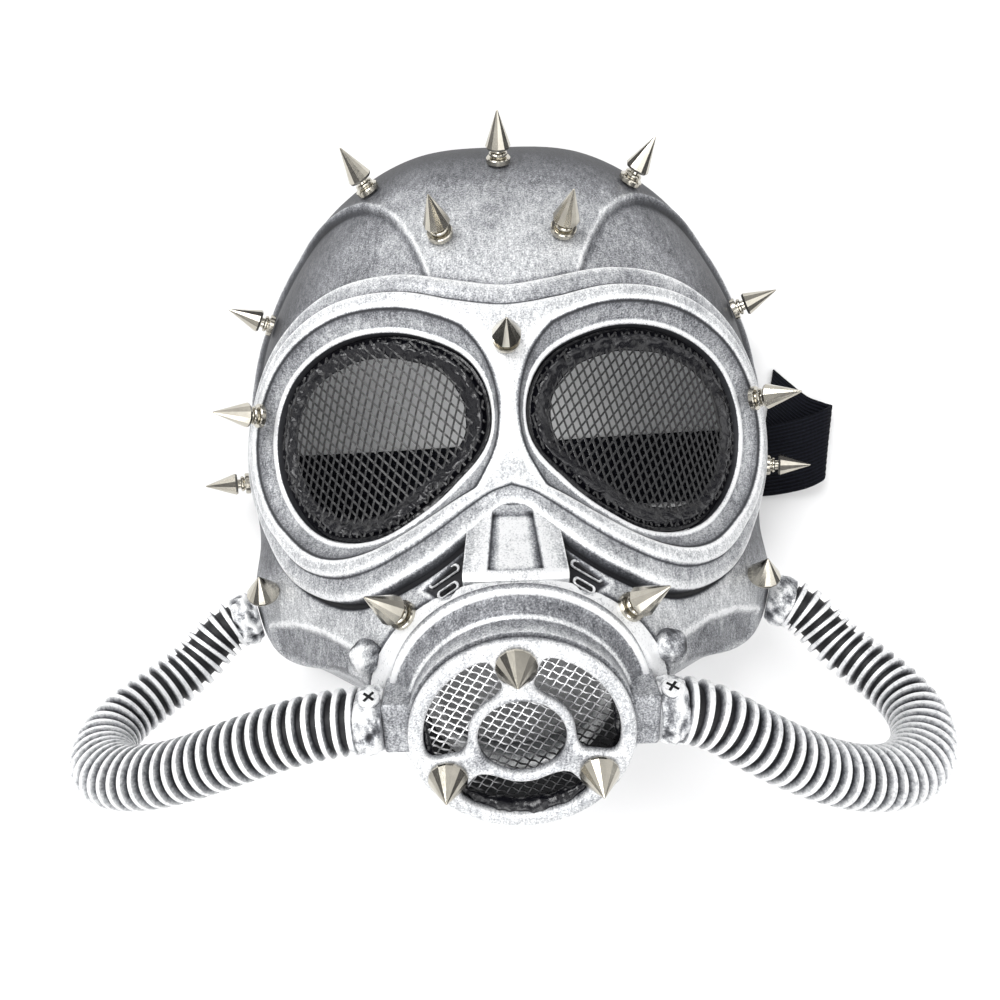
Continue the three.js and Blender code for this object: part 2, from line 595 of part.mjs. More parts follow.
// Short can on the mouth, with its flange and a block on each side for the hoses
function canisterBody() {
  const seat = canHeight - grille.thickness - clearance;
  const profile = [
    [canBore, clearance], [flangeRadius, clearance], [flangeRadius, flangeHeight - flangeSlope / 2],
    [flangeRadius - flangeSlope, flangeHeight], [canRadius + flangeSlope, flangeHeight + flangeRise],
    [canRadius, flangeHeight + flangeRise + flangeSlope / 2], [canRadius, seat], [canRadius - canWall, seat],
    [canRadius - canWall, meshLedge], [canBore, meshLedge], [canBore, clearance],
  ].map(([x, y]) => new THREE.Vector2(x, y));
  const can = new THREE.LatheGeometry(profile, CAN_TURNS).rotateX(Math.PI / 2);
  let body = toManifold(bodyFrom(...arraysOf(plain(can))));
  for (const side of [1, -1]) {
    const depth = sideBlock.reach - canRadius + sideBlock.sunk;
    const block = new THREE.BoxGeometry(depth, sideBlock.width, sideBlock.height);
    block.translate(side * (sideBlock.reach - depth / 2), socket.offset, clearance + sideBlock.height / 2);
    body = body.add(toManifold(plain(block)));
  }
  return fromManifold(body).applyMatrix4(mouthMatrix);
}


// Places of the three studs about the grille's middle
const studAngles = [92.5, 210, 331].map((degrees) => THREE.MathUtils.degToRad(degrees));

// Front ring with a centre ring and three spokes, and openings cut through between them
function canisterGrille() {
  const ring = (outer, bore) => {
    const shape = new THREE.Shape().absarc(0, 0, outer, 0, 2 * Math.PI);
    shape.holes.push(new THREE.Path().absarc(0, 0, bore, 0, 2 * Math.PI, true));
    const options = { depth: grille.thickness, bevelEnabled: false, curveSegments: CAN_TURNS / 2 };
    const solid = new THREE.ExtrudeGeometry(shape, options);
    return toManifold(plain(solid.translate(0, 0, canHeight - grille.thickness)));
  };
  let front = ring(canRadius - grille.inset, grille.windowRadius).add(ring(grille.hubOuter, grille.hubBore));
  const reach = grille.windowRadius - grille.hubBore;
  const padRadius = stud.radius + grille.pad;
  const level = canHeight - grille.thickness / 2;
  for (const angle of studAngles) {
    const spoke = new THREE.BoxGeometry(reach, grille.spoke, grille.thickness);
    spoke.translate((grille.windowRadius + grille.hubOuter) / 2, 0, level).rotateZ(angle);
    const pad = new THREE.CylinderGeometry(padRadius, padRadius, grille.thickness, CAN_TURNS / 2);
    pad.rotateX(Math.PI / 2).translate(studRing, 0, level).rotateZ(angle);
    front = front.add(toManifold(plain(spoke))).add(toManifold(plain(pad)));
  }
  return fromManifold(front).applyMatrix4(mouthMatrix);
}

function canisterMesh() {
  const radius = canRadius - canWall - clearance;
  const disc = new THREE.CylinderGeometry(radius, radius, meshThickness, CAN_TURNS).rotateX(Math.PI / 2);
  return plain(disc.translate(0, 0, meshLedge + clearance + meshThickness / 2)).applyMatrix4(mouthMatrix);
}

// Turned piece from its profile's rows, with a tip on the axis
function turned(rows, radius, height, tip, sides) {
  const profile = [[0, 0], ...rows.map((row) => [row.radius * radius, row.up * height]), [0, tip]];
  const lathe = new THREE.LatheGeometry(profile.map(([x, y]) => new THREE.Vector2(x, y)), sides);
  return bodyFrom(...arraysOf(plain(lathe.rotateX(Math.PI / 2))));
}

// Screwed-on spike: round foot, neck and a long faceted cone
const treeSpike = () => {
  return turned(SPIKE_FOOT, spike.radius, spike.length - spike.cone, spike.length, SPIKE_SIDES);
};
const coneStud = () => turned(STUD_FOOT, stud.radius, stud.height, stud.height, STUD_SIDES);

// Seats a piece that stands along +Z on the shell, on its normal
function seated(geometry, x, y, lift) {
  const foot = shellPoint(x, y, lift);
  const turn = new THREE.Quaternion().setFromUnitVectors(new THREE.Vector3(0, 0, 1), shellNormal(x, y));
  return geometry.clone().applyQuaternion(turn).translate(foot.x, foot.y, foot.z);
}

// Seats a round piece on the shell with an axis of its own, raised until its foot's edge clears the shell
function seatedAlong(geometry, x, y, radius, axis) {
  const rise = cornerRaise * radius * Math.sin(shellNormal(x, y).angleTo(axis)) + 2 * clearance;
  const foot = shellPoint(x, y, rise);
  const turn = new THREE.Quaternion().setFromUnitVectors(new THREE.Vector3(0, 0, 1), axis);
  return geometry.clone().applyQuaternion(turn).translate(foot.x, foot.y, foot.z);
}

// Height of what lies under a fitting's foot, above the main form: the highest of its middle and its edge
function groundLift(x, y, radius) {
  const out = shellNormal(x, y);
  const level = new THREE.Vector3(-out.y, out.x, 0).normalize();
  const rising = new THREE.Vector3().crossVectors(out, level);
  const edge = turnsOf(FOOT_SPOTS).map((angle) => new THREE.Vector3()
    .addScaledVector(level, radius * Math.cos(angle))
    .addScaledVector(rising, radius * Math.sin(angle)));
  return Math.max(...[new THREE.Vector3(), ...edge].map((spot) => {
    const [px, py] = [x + spot.x, y + spot.y];
    const onSurround = distanceTo(surroundOutline, px, py) > -clearance;
    return onSurround ? surroundRelief(px, py) : shellRelief(px, py);
  }));
}

// Round tube along a route that starts and ends on flat faces
function tubeAlong(points, diameter, sides, steps) {
  const path = new THREE.CatmullRomCurve3(points, false, 'centripetal');
  const section = new THREE.Shape(turnsOf(sides).map((a) => new THREE.Vector2(
    Math.cos(a) * diameter / 2, Math.sin(a) * diameter / 2,
  )));
  const tube = new THREE.ExtrudeGeometry(section, { steps, extrudePath: path, bevelEnabled: false });
  return bodyFrom(...arraysOf(plain(tube)));
}

const canSocketStart = sideBlock.reach + clearance;

const [jawX, jawY] = [planX(jawSocket.x), planY(jawSocket.y)];

function hoseTube(rows) {
  const seat = jawSocket.length + 2 * clearance;
  const [start, afterStart] = [seat, seat + hoseLead].map((lift) => shellPoint(jawX, jawY, lift));
  const far = canSocketStart + socket.length + clearance;
  const [end, beforeEnd] = [far, far + hoseLead].map((x) => onMouth(x, socket.offset, socket.height));
  const route = rows.map((row, i) => afterStart.clone()
    .lerp(beforeEnd, (i + 1) / (rows.length + 1))
    .addScaledVector(new THREE.Vector3(row.x, row.y, row.z), hoseDiameter));
  return tubeAlong([start, afterStart, ...route, beforeEnd, end], hoseDiameter, HOSE_SIDES, HOSE_STEPS);
}

function canSocket() {
  const solid = new THREE.CylinderGeometry(socket.radius, socket.radius, socket.length, SOCKET_SIDES);
  solid.rotateZ(Math.PI / 2);
  const middle = onMouth(canSocketStart + socket.length / 2, socket.offset, socket.height);
  return plain(solid.rotateX(mouthTilt)).translate(middle.x, middle.y, middle.z);
}

function jawSocketSolid() {
  const { radius, length } = jawSocket;
  const solid = new THREE.CylinderGeometry(radius, radius, length, SOCKET_SIDES);
  solid.rotateX(Math.PI / 2).translate(0, 0, length / 2);
  return plain(seated(solid, jawX, jawY, clearance));
}

const [bossX, bossY] = [collarRadius + boss.beside, mouthY + boss.above];
const hoseBoss = () => turned(BOSS_PROFILE, boss.radius, boss.height, boss.height, BOSS_SIDES);
const hoseScrew = () => {
  return turned(SCREW_PROFILE, screwHead.radius, screwHead.height, screwHead.height, STUD_SIDES);
};

// Screw on the upper side of the socket at the canister, its head clear of the round wall
function socketScrew() {
  const middle = onMouth(canSocketStart + socket.length / 2, socket.offset, socket.height);
  const out = new THREE.Vector3(0, Math.sin(screwLean), Math.cos(screwLean));
  const foot = middle.addScaledVector(out, socket.radius + clearance);
  return hoseScrew().rotateX(-screwLean).translate(foot.x, foot.y, foot.z);
}

const lyingHeight = clearance + strapThickness / 2;   // middle of the strap where it lies on the floor

function strapAnchorBlock() {
  const { inside, y, length, width, height } = strapAnchor;
  const middle = lyingHeight + (strapThickness + height) / 2 + 2 * clearance;
  return plain(new THREE.BoxGeometry(length, width, height).translate(halfWidth - inside, y, middle));
}

// Elastic band: a flat section swept along the strap's route
function headStrap() {
  const path = new THREE.CatmullRomCurve3(STRAP_ROUTE.map((row) => new THREE.Vector3(
    row.x * halfWidth, row.y * strapWidth, lyingHeight + row.up * strapArch.height,
  )));
  const turnCurve = smoothCurve(STRAP_ROUTE.map((_, i) => i), STRAP_ROUTE.map((row) => row.turn));
  const loops = [];
  for (let i = 0; i <= STRAP_STEPS; i += 1) {
    const share = i / STRAP_STEPS;
    const at = path.getPoint(share);
    const ahead = path.getTangent(share);
    const heading = THREE.MathUtils.degToRad(turnCurve(share * (STRAP_ROUTE.length - 1)));
    const wide = new THREE.Vector3(Math.sin(heading), Math.cos(heading), 0);
    const thick = new THREE.Vector3().crossVectors(ahead, wide).normalize();
    const corner = (w, t) => at.clone().addScaledVector(wide, w * strapWidth / 2)
      .addScaledVector(thick, t * strapThickness / 2);
    loops.push([corner(1, 1), corner(-1, 1), corner(-1, -1), corner(1, -1)]);
  }
  const middle = (loop) => loop.reduce((sum, p) => sum.add(p), new THREE.Vector3()).divideScalar(4);
  return loopSolid(loops, middle(loops[0]), middle(loops[STRAP_STEPS]));
}

const silver = new THREE.MeshStandardMaterial({ color: 0xb9bbbe, roughness: 0.45, metalness: 0.6 });
const nickel = new THREE.MeshStandardMaterial({ color: 0xa8a297, roughness: 0.15, metalness: 1 });
const blackWire = new THREE.MeshStandardMaterial({ color: 0x1b1c1e, roughness: 0.5, metalness: 0.7 });
const blackGlue = new THREE.MeshStandardMaterial({ color: 0x0c0c0e, roughness: 0.2, metalness: 0 });
const silverWire = new THREE.MeshStandardMaterial({ color: 0x9a9b9d, roughness: 0.4, metalness: 0.8 });
const hoseSilver = new THREE.MeshStandardMaterial({ color: 0x8e9094, roughness: 0.5, metalness: 0.4 });
const elastic = new THREE.MeshStandardMaterial({ color: 0x14151b, roughness: 0.9, metalness: 0 });

const mask = new THREE.Group();
const face = new THREE.Group();
mask.add(face);

function addPiece(name, geometry, material) {
  const mesh = new THREE.Mesh(geometry, material);
  mesh.name = name;
  face.add(mesh);
}

function addPair(name, geometry, material) {
  addPiece(`${name}_right`, geometry, material);
  addPiece(`${name}_left`, mirrored(plain(geometry)), material);
}

addPiece('face_shell', faceShell(), silver);
addPair('eye_mesh', eyeMesh(), blackWire);
addPair('eye_bead', eyeBead(), blackGlue);
addPiece('canister_body', canisterBody(), silver);
addPiece('canister_grille', canisterGrille(), silver);
addPiece('canister_mesh', canisterMesh(), silverWire);

for (const row of SPIKES) {
  const [x, y] = [planX(row.x), planY(row.y)];
  const solid = seated(treeSpike(), x, y, groundLift(x, y, spike.radius) + 2 * clearance);
  if (row.both) addPair(row.name, solid, nickel);
  else addPiece(row.name, solid, nickel);
}
const [cornerX, cornerY] = [planX(CORNER_STUD.x), planY(CORNER_STUD.y)];
addPair('stud_corner', seatedAlong(coneStud(), cornerX, cornerY, stud.radius, cornerAxis), nickel);
const studNames = ['stud_canister_top', 'stud_canister_left', 'stud_canister_right'];
studAngles.forEach((angle, i) => {
  const solid = coneStud().translate(studRing, 0, canHeight + clearance).rotateZ(angle);
  addPiece(studNames[i], solid.applyMatrix4(mouthMatrix), nickel);
});

addPiece('hose_right', hoseTube(HOSE_ROUTES.right), hoseSilver);
addPiece('hose_left', mirrored(plain(hoseTube(HOSE_ROUTES.left))), hoseSilver);
addPair('hose_socket_canister', canSocket(), silver);
addPair('hose_socket_jaw', jawSocketSolid(), silver);
addPair('hose_boss', seated(hoseBoss(), bossX, bossY, 2 * clearance), silver);
addPair('hose_screw', socketScrew(), nickel);
addPiece('head_strap', headStrap(), elastic);
addPiece('strap_anchor', strapAnchorBlock(), elastic);

// The origin is the middle of the rigid pieces' box, at the height of the rim
const box = new THREE.Box3();
for (const mesh of face.children) {
  if (mesh.name !== 'hose_right' && mesh.name !== 'hose_left') box.expandByObject(mesh);
}
face.position.set(-(box.min.x + box.max.x) / 2, -(box.min.y + box.max.y) / 2, -box.min.z);
mask.updateMatrixWorld(true);

export default mask;
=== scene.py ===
"""Gas mask style costume mask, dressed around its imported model.

The mask lies face up on its rim. Lengths are written in millimetres in mask coordinates, whose origin is the
crown centre between the eyes, and every mesh is put into the frame's metres as it is made.
"""
import logging
import math
from dataclasses import dataclass
from enum import Enum

import bmesh
import bpy
import numpy as np
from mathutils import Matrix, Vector


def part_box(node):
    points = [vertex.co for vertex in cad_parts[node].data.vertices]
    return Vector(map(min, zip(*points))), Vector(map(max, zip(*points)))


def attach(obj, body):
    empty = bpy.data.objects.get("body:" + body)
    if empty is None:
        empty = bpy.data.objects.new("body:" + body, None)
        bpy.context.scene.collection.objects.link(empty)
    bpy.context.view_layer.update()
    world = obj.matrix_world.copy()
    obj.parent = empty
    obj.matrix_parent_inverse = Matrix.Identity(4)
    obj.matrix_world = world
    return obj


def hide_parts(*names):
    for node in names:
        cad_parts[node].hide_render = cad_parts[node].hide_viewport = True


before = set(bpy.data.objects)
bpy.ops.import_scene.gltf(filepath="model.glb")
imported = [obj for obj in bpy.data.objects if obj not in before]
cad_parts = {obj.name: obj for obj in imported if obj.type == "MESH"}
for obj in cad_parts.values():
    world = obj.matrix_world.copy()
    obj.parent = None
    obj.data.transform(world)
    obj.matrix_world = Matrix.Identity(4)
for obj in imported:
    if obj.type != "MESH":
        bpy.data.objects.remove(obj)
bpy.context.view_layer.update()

logging.basicConfig(level=logging.INFO, format="%(message)s")
LOG = logging.getLogger("mask")

Array = np.ndarray
MM = 0.001


class Finish(Enum):
    """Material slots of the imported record."""

    SHELL = "shell_silver"
    WIRE = "black_wire"
    GLUE = "black_glue"
    SILVER_WIRE = "silver_wire"
    HOSE = "hose_silver"
    NICKEL = "nickel"
    ELASTIC = "black_elastic"
    ANCHOR = "anchor_black"


@dataclass(frozen=True)
class ShellSizes:
    """Driving sizes of the shell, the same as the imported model's."""

    half_width: float = 91.5
    forehead_reach: float = 108.5
    chin_reach: float = 100.0
    crown_height: float = 80.0
    roundness: float = 2.2
    wall: float = 2.0
    temple_depth: float = 1.8
    arch_height: float = 4.0
    arch_length: float = 58.0
    arch_middle: float = 1.0
    mouth_y: float = -56.5
    mouth_height: float = 92.0
    mouth_tilt: float = math.radians(22)
    collar: float = 32.0
    snout_slope: float = 0.9
    snout_curve: float = 0.256
    nose_steepness: float = 1.35
    snout_blend: float = 10.0
    jaw_blend: float = 3.0
    eye_spacing: float = 72.0
    eye_width: float = 63.0
    eye_height: float = 55.0
    eye_y: float = 7.5
    surround_side: float = 13.8
    surround_top: float = 15.0


SIZES = ShellSizes()

# Rim from chin to forehead: x and y as shares of the reach, fullness of the dome and steepness of the wall
RIM = np.array([
    (0, -1, 2.2, 5.3), (0.269, -0.93, 2.3, 4.5), (0.514, -0.814, 2.4, 3.2), (0.689, -0.725, 2.4, 2.9),
    (0.897, -0.597, 2.4, 3.6), (0.961, -0.448, 2.3, 3.8), (0.944, -0.232, 1.9, 5.5), (0.995, 0, 1.5, 9),
    (0.981, 0.222, 1.55, 20), (0.914, 0.445, 1.75, 30), (0.777, 0.655, 2, 30), (0.579, 0.846, 2.2, 30),
    (0.309, 0.974, 2.3, 30), (0, 1, 2.3, 30),
])
# Outer edge of the goggle surround from the nose to the brow, as shares of its reach
SURROUND_EDGE = np.array([
    (0, -0.344), (0.056, -0.403), (0.137, -0.553), (0.285, -0.79), (0.487, -0.987), (0.652, -0.949),
    (0.815, -0.691), (0.944, -0.309), (0.999, 0.085), (0.924, 0.489), (0.776, 0.79), (0.589, 0.96),
    (0.354, 0.998), (0.154, 0.935), (0, 0.898),
])
# Eye opening every 30 degrees from the temple side, as shares of its half width
EYE_EDGE = np.array([1, 0.968, 0.895, 0.87, 0.917, 1.025, 0.994, 0.816, 0.778, 0.86, 0.946, 0.984])
# Temple panel from the surround up over the ridge and down the side
TEMPLE = np.array([
    (0.216, 0.45), (0.235, 0.502), (0.266, 0.562), (0.317, 0.636), (0.374, 0.685), (0.44, 0.719),
    (0.51, 0.728), (0.574, 0.722), (0.639, 0.708), (0.72, 0.66), (0.86, 0.49), (0.93, 0.3), (0.9, 0.16),
    (0.6, 0.2), (0.25, 0.3),
])
# Flat lower facet of the cheek, in mm on the right
JAW_FACET = np.array([
    (70.4, -44.6), (61.4, -42.6), (49.8, -43.0), (40.5, -45.2), (42, -53.2), (68.4, -52.9),
])
# Sunken corner beside the nose that holds the slots, in mm on the right
VENT_RECESS = np.array([(22.2, -30.4), (11.1, -21.2), (11.9, -29.2), (14.7, -32.5), (16.8, -32.9)])


class SmoothCurve:
    """Cubic through rising places, with the slope at each the average of its two sides."""

    def __init__(self, places: Array, values: Array) -> None:
        """Stores the places and works out the slopes.

        Args:
            places: rising places along the curve.
            values: the curve's value at each place.
        """
        self.places = np.asarray(places, float)
        self.values = np.asarray(values, float)
        gaps = np.diff(self.places)
        rises = np.diff(self.values) / gaps
        inner = (rises[1:] * gaps[:-1] + rises[:-1] * gaps[1:]) / (gaps[1:] + gaps[:-1])
        self.slopes = np.concatenate([rises[:1], inner, rises[-1:]])

    def __call__(self, at: Array) -> Array:
        """Returns the curve's values at the given places."""
        at = np.asarray(at, float)
        i = np.clip(np.searchsorted(self.places, at, side="left") - 1, 0, len(self.places) - 2)
        span = self.places[i + 1] - self.places[i]
        t = np.clip((at - self.places[i]) / span, 0, 1)
        rise = span * (self.slopes[i] * t * (1 - t) ** 2 - self.slopes[i + 1] * t * t * (1 - t))
        return self.values[i] + (self.values[i + 1] - self.values[i]) * t * t * (3 - 2 * t) + rise


def step_between(value: Array, low: float, high: float) -> Array:
    """Returns 0 below low and 1 above high, rising as 3t squared less 2t cubed between."""
    t = np.clip((value - low) / (high - low), 0, 1)
    return t * t * (3 - 2 * t)


def smooth_max(a: Array, b: Array, blend: float) -> Array:
    """Returns the larger of two heights, rounded over blend where they meet."""
    h = np.clip(0.5 + 0.5 * (a - b) / blend, 0, 1)
    return b + (a - b) * h + blend * h * (1 - h)


def bell(distance: Array, width: float) -> Array:
    """Returns a bell-shaped bump: e to the minus square of the distance over the width."""
    return np.exp(-(distance / width) ** 2)


def turns(count: int) -> Array:
    """Returns angles once round, without the last that meets the first."""
    return np.arange(count) * 2 * math.pi / count


def distance_inside(outline: Array, x: Array, y: Array) -> Array:
    """Distance from points to a closed outline.

    Args:
        outline: corners of the outline, one row each.
        x: first coordinates of the points.
        y: second coordinates of the points.

    Returns:
        The distance to the nearest side, positive inside the outline and negative outside.
    """
    best = np.full(np.shape(x), np.inf)
    inside = np.zeros(np.shape(x), bool)
    for a, b in zip(outline, np.roll(outline, -1, axis=0)):
        side = b - a
        along = np.clip(((x - a[0]) * side[0] + (y - a[1]) * side[1]) / (side @ side), 0, 1)
        best = np.minimum(best, np.hypot(x - a[0] - along * side[0], y - a[1] - along * side[1]))
        if a[1] != b[1]:
            crossing = (b[0] - a[0]) * (y - a[1]) / (b[1] - a[1]) + a[0]
            inside ^= ((a[1] > y) != (b[1] > y)) & (x < crossing)
    return np.where(inside, best, -best)


class ShellForm:
    """The shell's main form: a dome joined by the snout's tilted mound and held in by the side wall."""

    def __init__(self, sizes: ShellSizes) -> None:
        """Works out the rim, the surround and the eye outlines from the sizes."""
        self.sizes = s = sizes
        ahead, behind = (s.half_width, s.forehead_reach), (s.half_width, s.chin_reach)
        rim = RIM[:, :2] * np.where(RIM[:, 1:2] > 0, ahead, behind)
        radius = np.hypot(rim[:, 0], rim[:, 1])
        self.rim_radius = self.both_sides(rim, radius)
        self.fullness = self.both_sides(rim, RIM[:, 2])
        self.steepness = self.both_sides(rim, RIM[:, 3])
        side = s.eye_spacing / 2 + s.eye_width / 2 + s.surround_side
        top = s.eye_y + s.eye_height / 2 + s.surround_top
        bottom = s.surround_top + s.eye_height / 2 - s.eye_y
        edge = SURROUND_EDGE * np.where(SURROUND_EDGE[:, 1:] > 0, (side, top), (side, bottom))
        self.surround_radius = self.both_sides(edge, np.hypot(edge[:, 0], edge[:, 1]))
        angle = turns(240)
        r = self.surround_radius(np.cos(angle), np.sin(angle))
        self.surround_outline = np.column_stack([r * np.cos(angle), r * np.sin(angle)])
        count = len(EYE_EDGE)
        places = (np.arange(count + 3) - 1) * 2 * math.pi / count
        self.eye_curve = SmoothCurve(places, EYE_EDGE[(np.arange(count + 3) - 1) % count])
        rises = self.eye_curve(turns(72)) * np.sin(turns(72))
        self.eye_stretch = s.eye_height / (s.eye_width * np.ptp(rises) / 2)
        self.eye_outline = np.column_stack(self.eye_point(turns(160), 0))
        self.temple_outline = TEMPLE * (s.half_width, s.forehead_reach)

    @staticmethod
    def both_sides(points: Array, values: Array):
        """Returns a function of x and y that reads values by angle, the same on both sides."""
        angle = np.arctan2(points[:, 1], points[:, 0])
        places = np.concatenate([[-math.pi - angle[1]], angle, [math.pi - angle[-2]]])
        curve = SmoothCurve(places, np.concatenate([values[1:2], values, values[-2:-1]]))
        return lambda x, y: curve(np.arctan2(y, np.abs(x)))

    def eye_point(self, angle: Array, inset: float | Array) -> tuple[Array, Array]:
        """Returns x and y on the right eye's opening at an angle about its centre, moved in by inset."""
        turn = np.mod(angle, 2 * math.pi)
        radius = self.eye_curve(turn) * self.sizes.eye_width / 2 - inset
        x = self.sizes.eye_spacing / 2 + radius * np.cos(turn)
        return x, self.sizes.eye_y + radius * np.sin(turn) * self.eye_stretch

    def height(self, x: Array, y: Array) -> Array:
        """Height of the form above the rim plane.

        The dome is the crown height times one less the share of the rim radius to the roundness, to one over
        the fullness. The mound is a tilted plane that falls away past the collar. The side wall rises from
        the rim at its own steepness.
        """
        s = self.sizes
        radius = np.hypot(x, y)
        rim = self.rim_radius(x, y)
        share = np.minimum(radius / rim, 1)
        dome = s.crown_height * (1 - share ** s.roundness) ** (1 / self.fullness(x, y))
        up = y - s.mouth_y
        past = np.maximum(np.hypot(x, np.where(up > 0, up * s.nose_steepness, up)) - s.collar, 0)
        fall = s.snout_slope * past + s.snout_curve * past ** 2 / s.collar
        mound = s.mouth_height + math.tan(s.mouth_tilt) * up - fall
        whole = smooth_max(dome, mound, s.snout_blend)
        wall = self.steepness(x, y) * (rim - radius)
        return np.maximum(-smooth_max(-whole, -wall, s.jaw_blend), 0)

    def normal(self, x: Array, y: Array) -> Array:
        """Returns the outward unit normals, taken a little inside the rim."""
        step = 0.4
        share = np.minimum((self.rim_radius(x, y) - 2 * step) / np.maximum(np.hypot(x, y), 1e-9), 1)
        x, y = x * share, y * share
        slope_x = (self.height(x + step, y) - self.height(x - step, y)) / (2 * step)
        slope_y = (self.height(x, y + step) - self.height(x, y - step)) / (2 * step)
        n = np.stack([-slope_x, -slope_y, np.ones_like(slope_x)], axis=-1)
        return n / np.linalg.norm(n, axis=-1, keepdims=True)

    def point(self, x: Array, y: Array, lift: float | Array) -> Array:
        """Returns points on the form moved out along its normals by lift."""
        base = np.stack([x, y, self.height(x, y)], axis=-1)
        return base + self.normal(x, y) * np.asarray(lift)[..., None]

    def on_mouth(self, local: Array) -> Array:
        """Returns points given about the canister's leaning axis, in mask coordinates."""
        s = self.sizes
        c, k = math.cos(s.mouth_tilt), math.sin(s.mouth_tilt)
        turned = np.stack([local[..., 0], c * local[..., 1] - k * local[..., 2],
                           k * local[..., 1] + c * local[..., 2]], axis=-1)
        return turned + (0, s.mouth_y, s.mouth_height)


FORM = ShellForm(SIZES)


def find_shift() -> Array:
    """Returns the crown centre's place in the frame in mm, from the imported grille's middle."""
    low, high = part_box("canister_grille")
    middle = (np.array(low) + np.array(high)) / 2 / MM
    grille_level = 13.6
    known = FORM.on_mouth(np.array([0, 0, grille_level]))
    return np.array([middle[0] - known[0], middle[1] - known[1], 0])


SHIFT = find_shift()


def grid_faces(rows: int, columns: int, wrap_rows: bool, wrap_columns: bool) -> Array:
    """Faces of a grid of points, stored row by row.

    Args:
        rows: how many rows of points.
        columns: how many points in a row.
        wrap_rows: whether the last row joins the first.
        wrap_columns: whether the last point of a row joins the first.

    Returns:
        Four corner numbers for each face.
    """
    j, i = np.meshgrid(np.arange(rows if wrap_rows else rows - 1),
                       np.arange(columns if wrap_columns else columns - 1), indexing="ij")
    j, i = j.ravel(), i.ravel()
    k, m = (i + 1) % columns, (j + 1) % rows
    return np.column_stack([j * columns + i, j * columns + k, m * columns + k, m * columns + i])


def make_mesh(name: str, points: Array, faces: Array | list, paint: Array | None = None,
              caps: list | None = None, sharp: float = 35.0, weld: float = 1e-7,
              uv: Array | None = None) -> bpy.types.Object:
    """Makes a piece from points in mask coordinates.

    Args:
        name: the object's name.
        points: corners in mm, in any shape that ends with three coordinates.
        faces: corner numbers of each face.
        paint: how much silver lies on each point, plus painted light and shade on some pieces, from 0 to 1,
            kept as the attribute paint.
        caps: further faces with many corners.
        sharp: edges sharper than this many degrees are shaded sharp.
        weld: points closer than this many metres become one.
        uv: a place on the piece's own map for each point.

    Returns:
        The new object, linked to the scene and riding on the root body.
    """
    flat = np.asarray(points, float).reshape(-1, 3)
    mesh = bpy.data.meshes.new(name)
    mesh.from_pydata(((flat + SHIFT) * MM).tolist(), [], np.asarray(faces).tolist() + list(caps or []))
    if paint is not None:
        layer = mesh.attributes.new("paint", "FLOAT", "POINT")
        layer.data.foreach_set("value", np.asarray(paint, np.float32).ravel())
    if uv is not None:
        corners = np.empty(len(mesh.loops), np.int32)
        mesh.loops.foreach_get("vertex_index", corners)
        places = uv.reshape(-1, 2)[corners].astype(np.float32)
        mesh.uv_layers.new(name="own").data.foreach_set("uv", places.ravel())
    shape = bmesh.new()
    shape.from_mesh(mesh)
    bmesh.ops.remove_doubles(shape, verts=shape.verts, dist=weld)
    bmesh.ops.dissolve_degenerate(shape, edges=shape.edges, dist=weld)
    bmesh.ops.recalc_face_normals(shape, faces=shape.faces)
    shape.to_mesh(mesh)
    shape.free()
    mesh.polygons.foreach_set("use_smooth", [True] * len(mesh.polygons))
    mesh.set_sharp_from_angle(angle=math.radians(sharp))
    piece = bpy.data.objects.new(name, mesh)
    bpy.context.scene.collection.objects.link(piece)
    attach(piece, "root")
    return piece


def dress(piece: bpy.types.Object, material: bpy.types.Material) -> bpy.types.Object:
    """Gives a piece its one material, and reports it."""
    piece.data.materials.clear()
    piece.data.materials.append(material)
    LOG.info("%s: %d faces", piece.name, len(piece.data.polygons))
    return piece


def mirrored(points: Array) -> Array:
    """Returns points on the other side of the centre line."""
    return points * (-1, 1, 1)


def lumps(points: Array, size: float, seed: int) -> Array:
    """Smooth uneven values over points.

    The value is a mean of eight sines along random directions, with wavelengths about the given size.

    Args:
        points: places in mm.
        size: length of one lump in mm.
        seed: which pattern.

    Returns:
        Values from about -1 to 1.
    """
    draw = np.random.default_rng(seed)
    waves = draw.normal(size=(8, 3)) * 2 * math.pi / size / 1.7
    phases = draw.uniform(0, 2 * math.pi, 8)
    return np.sin(points @ waves.T + phases).mean(axis=-1) * 2.2


def tube_rings(path: Array, radii: Array, sides: int, reference: Vector | None = None) -> Array:
    """Rings of points round a path, without twist.

    Args:
        path: centres, one row each.
        radii: the radius at each centre.
        sides: points in a ring.
        reference: a direction that the first point of each ring leans to.

    Returns:
        Points as rings by sides by three.
    """
    ahead = np.gradient(path, axis=0)
    ahead /= np.linalg.norm(ahead, axis=1, keepdims=True)
    side = np.zeros_like(path)
    last = np.array(reference or (0.0, 0.0, 1.0))
    for i, direction in enumerate(ahead):
        last = last - direction * (last @ direction)
        last /= np.linalg.norm(last)
        side[i] = last
    other = np.cross(ahead, side)
    angle = turns(sides)
    around = side[:, None] * np.cos(angle)[None, :, None] + other[:, None] * np.sin(angle)[None, :, None]
    return path[:, None] + around * np.asarray(radii)[:, None, None]


def ring_caps(rows: int, columns: int) -> list:
    """Returns the two end faces of a tube grid."""
    last = (rows - 1) * columns
    return [list(range(columns))[::-1], list(range(last, last + columns))]


def turned_section(section: Array, angle: Array) -> Array:
    """Returns rings of points made by turning rows of radius and height to these angles."""
    radius, height = section[:, :1], section[:, 1:]
    return np.stack([radius * np.cos(angle), radius * np.sin(angle), np.repeat(height, len(angle), 1)],
                    axis=-1)


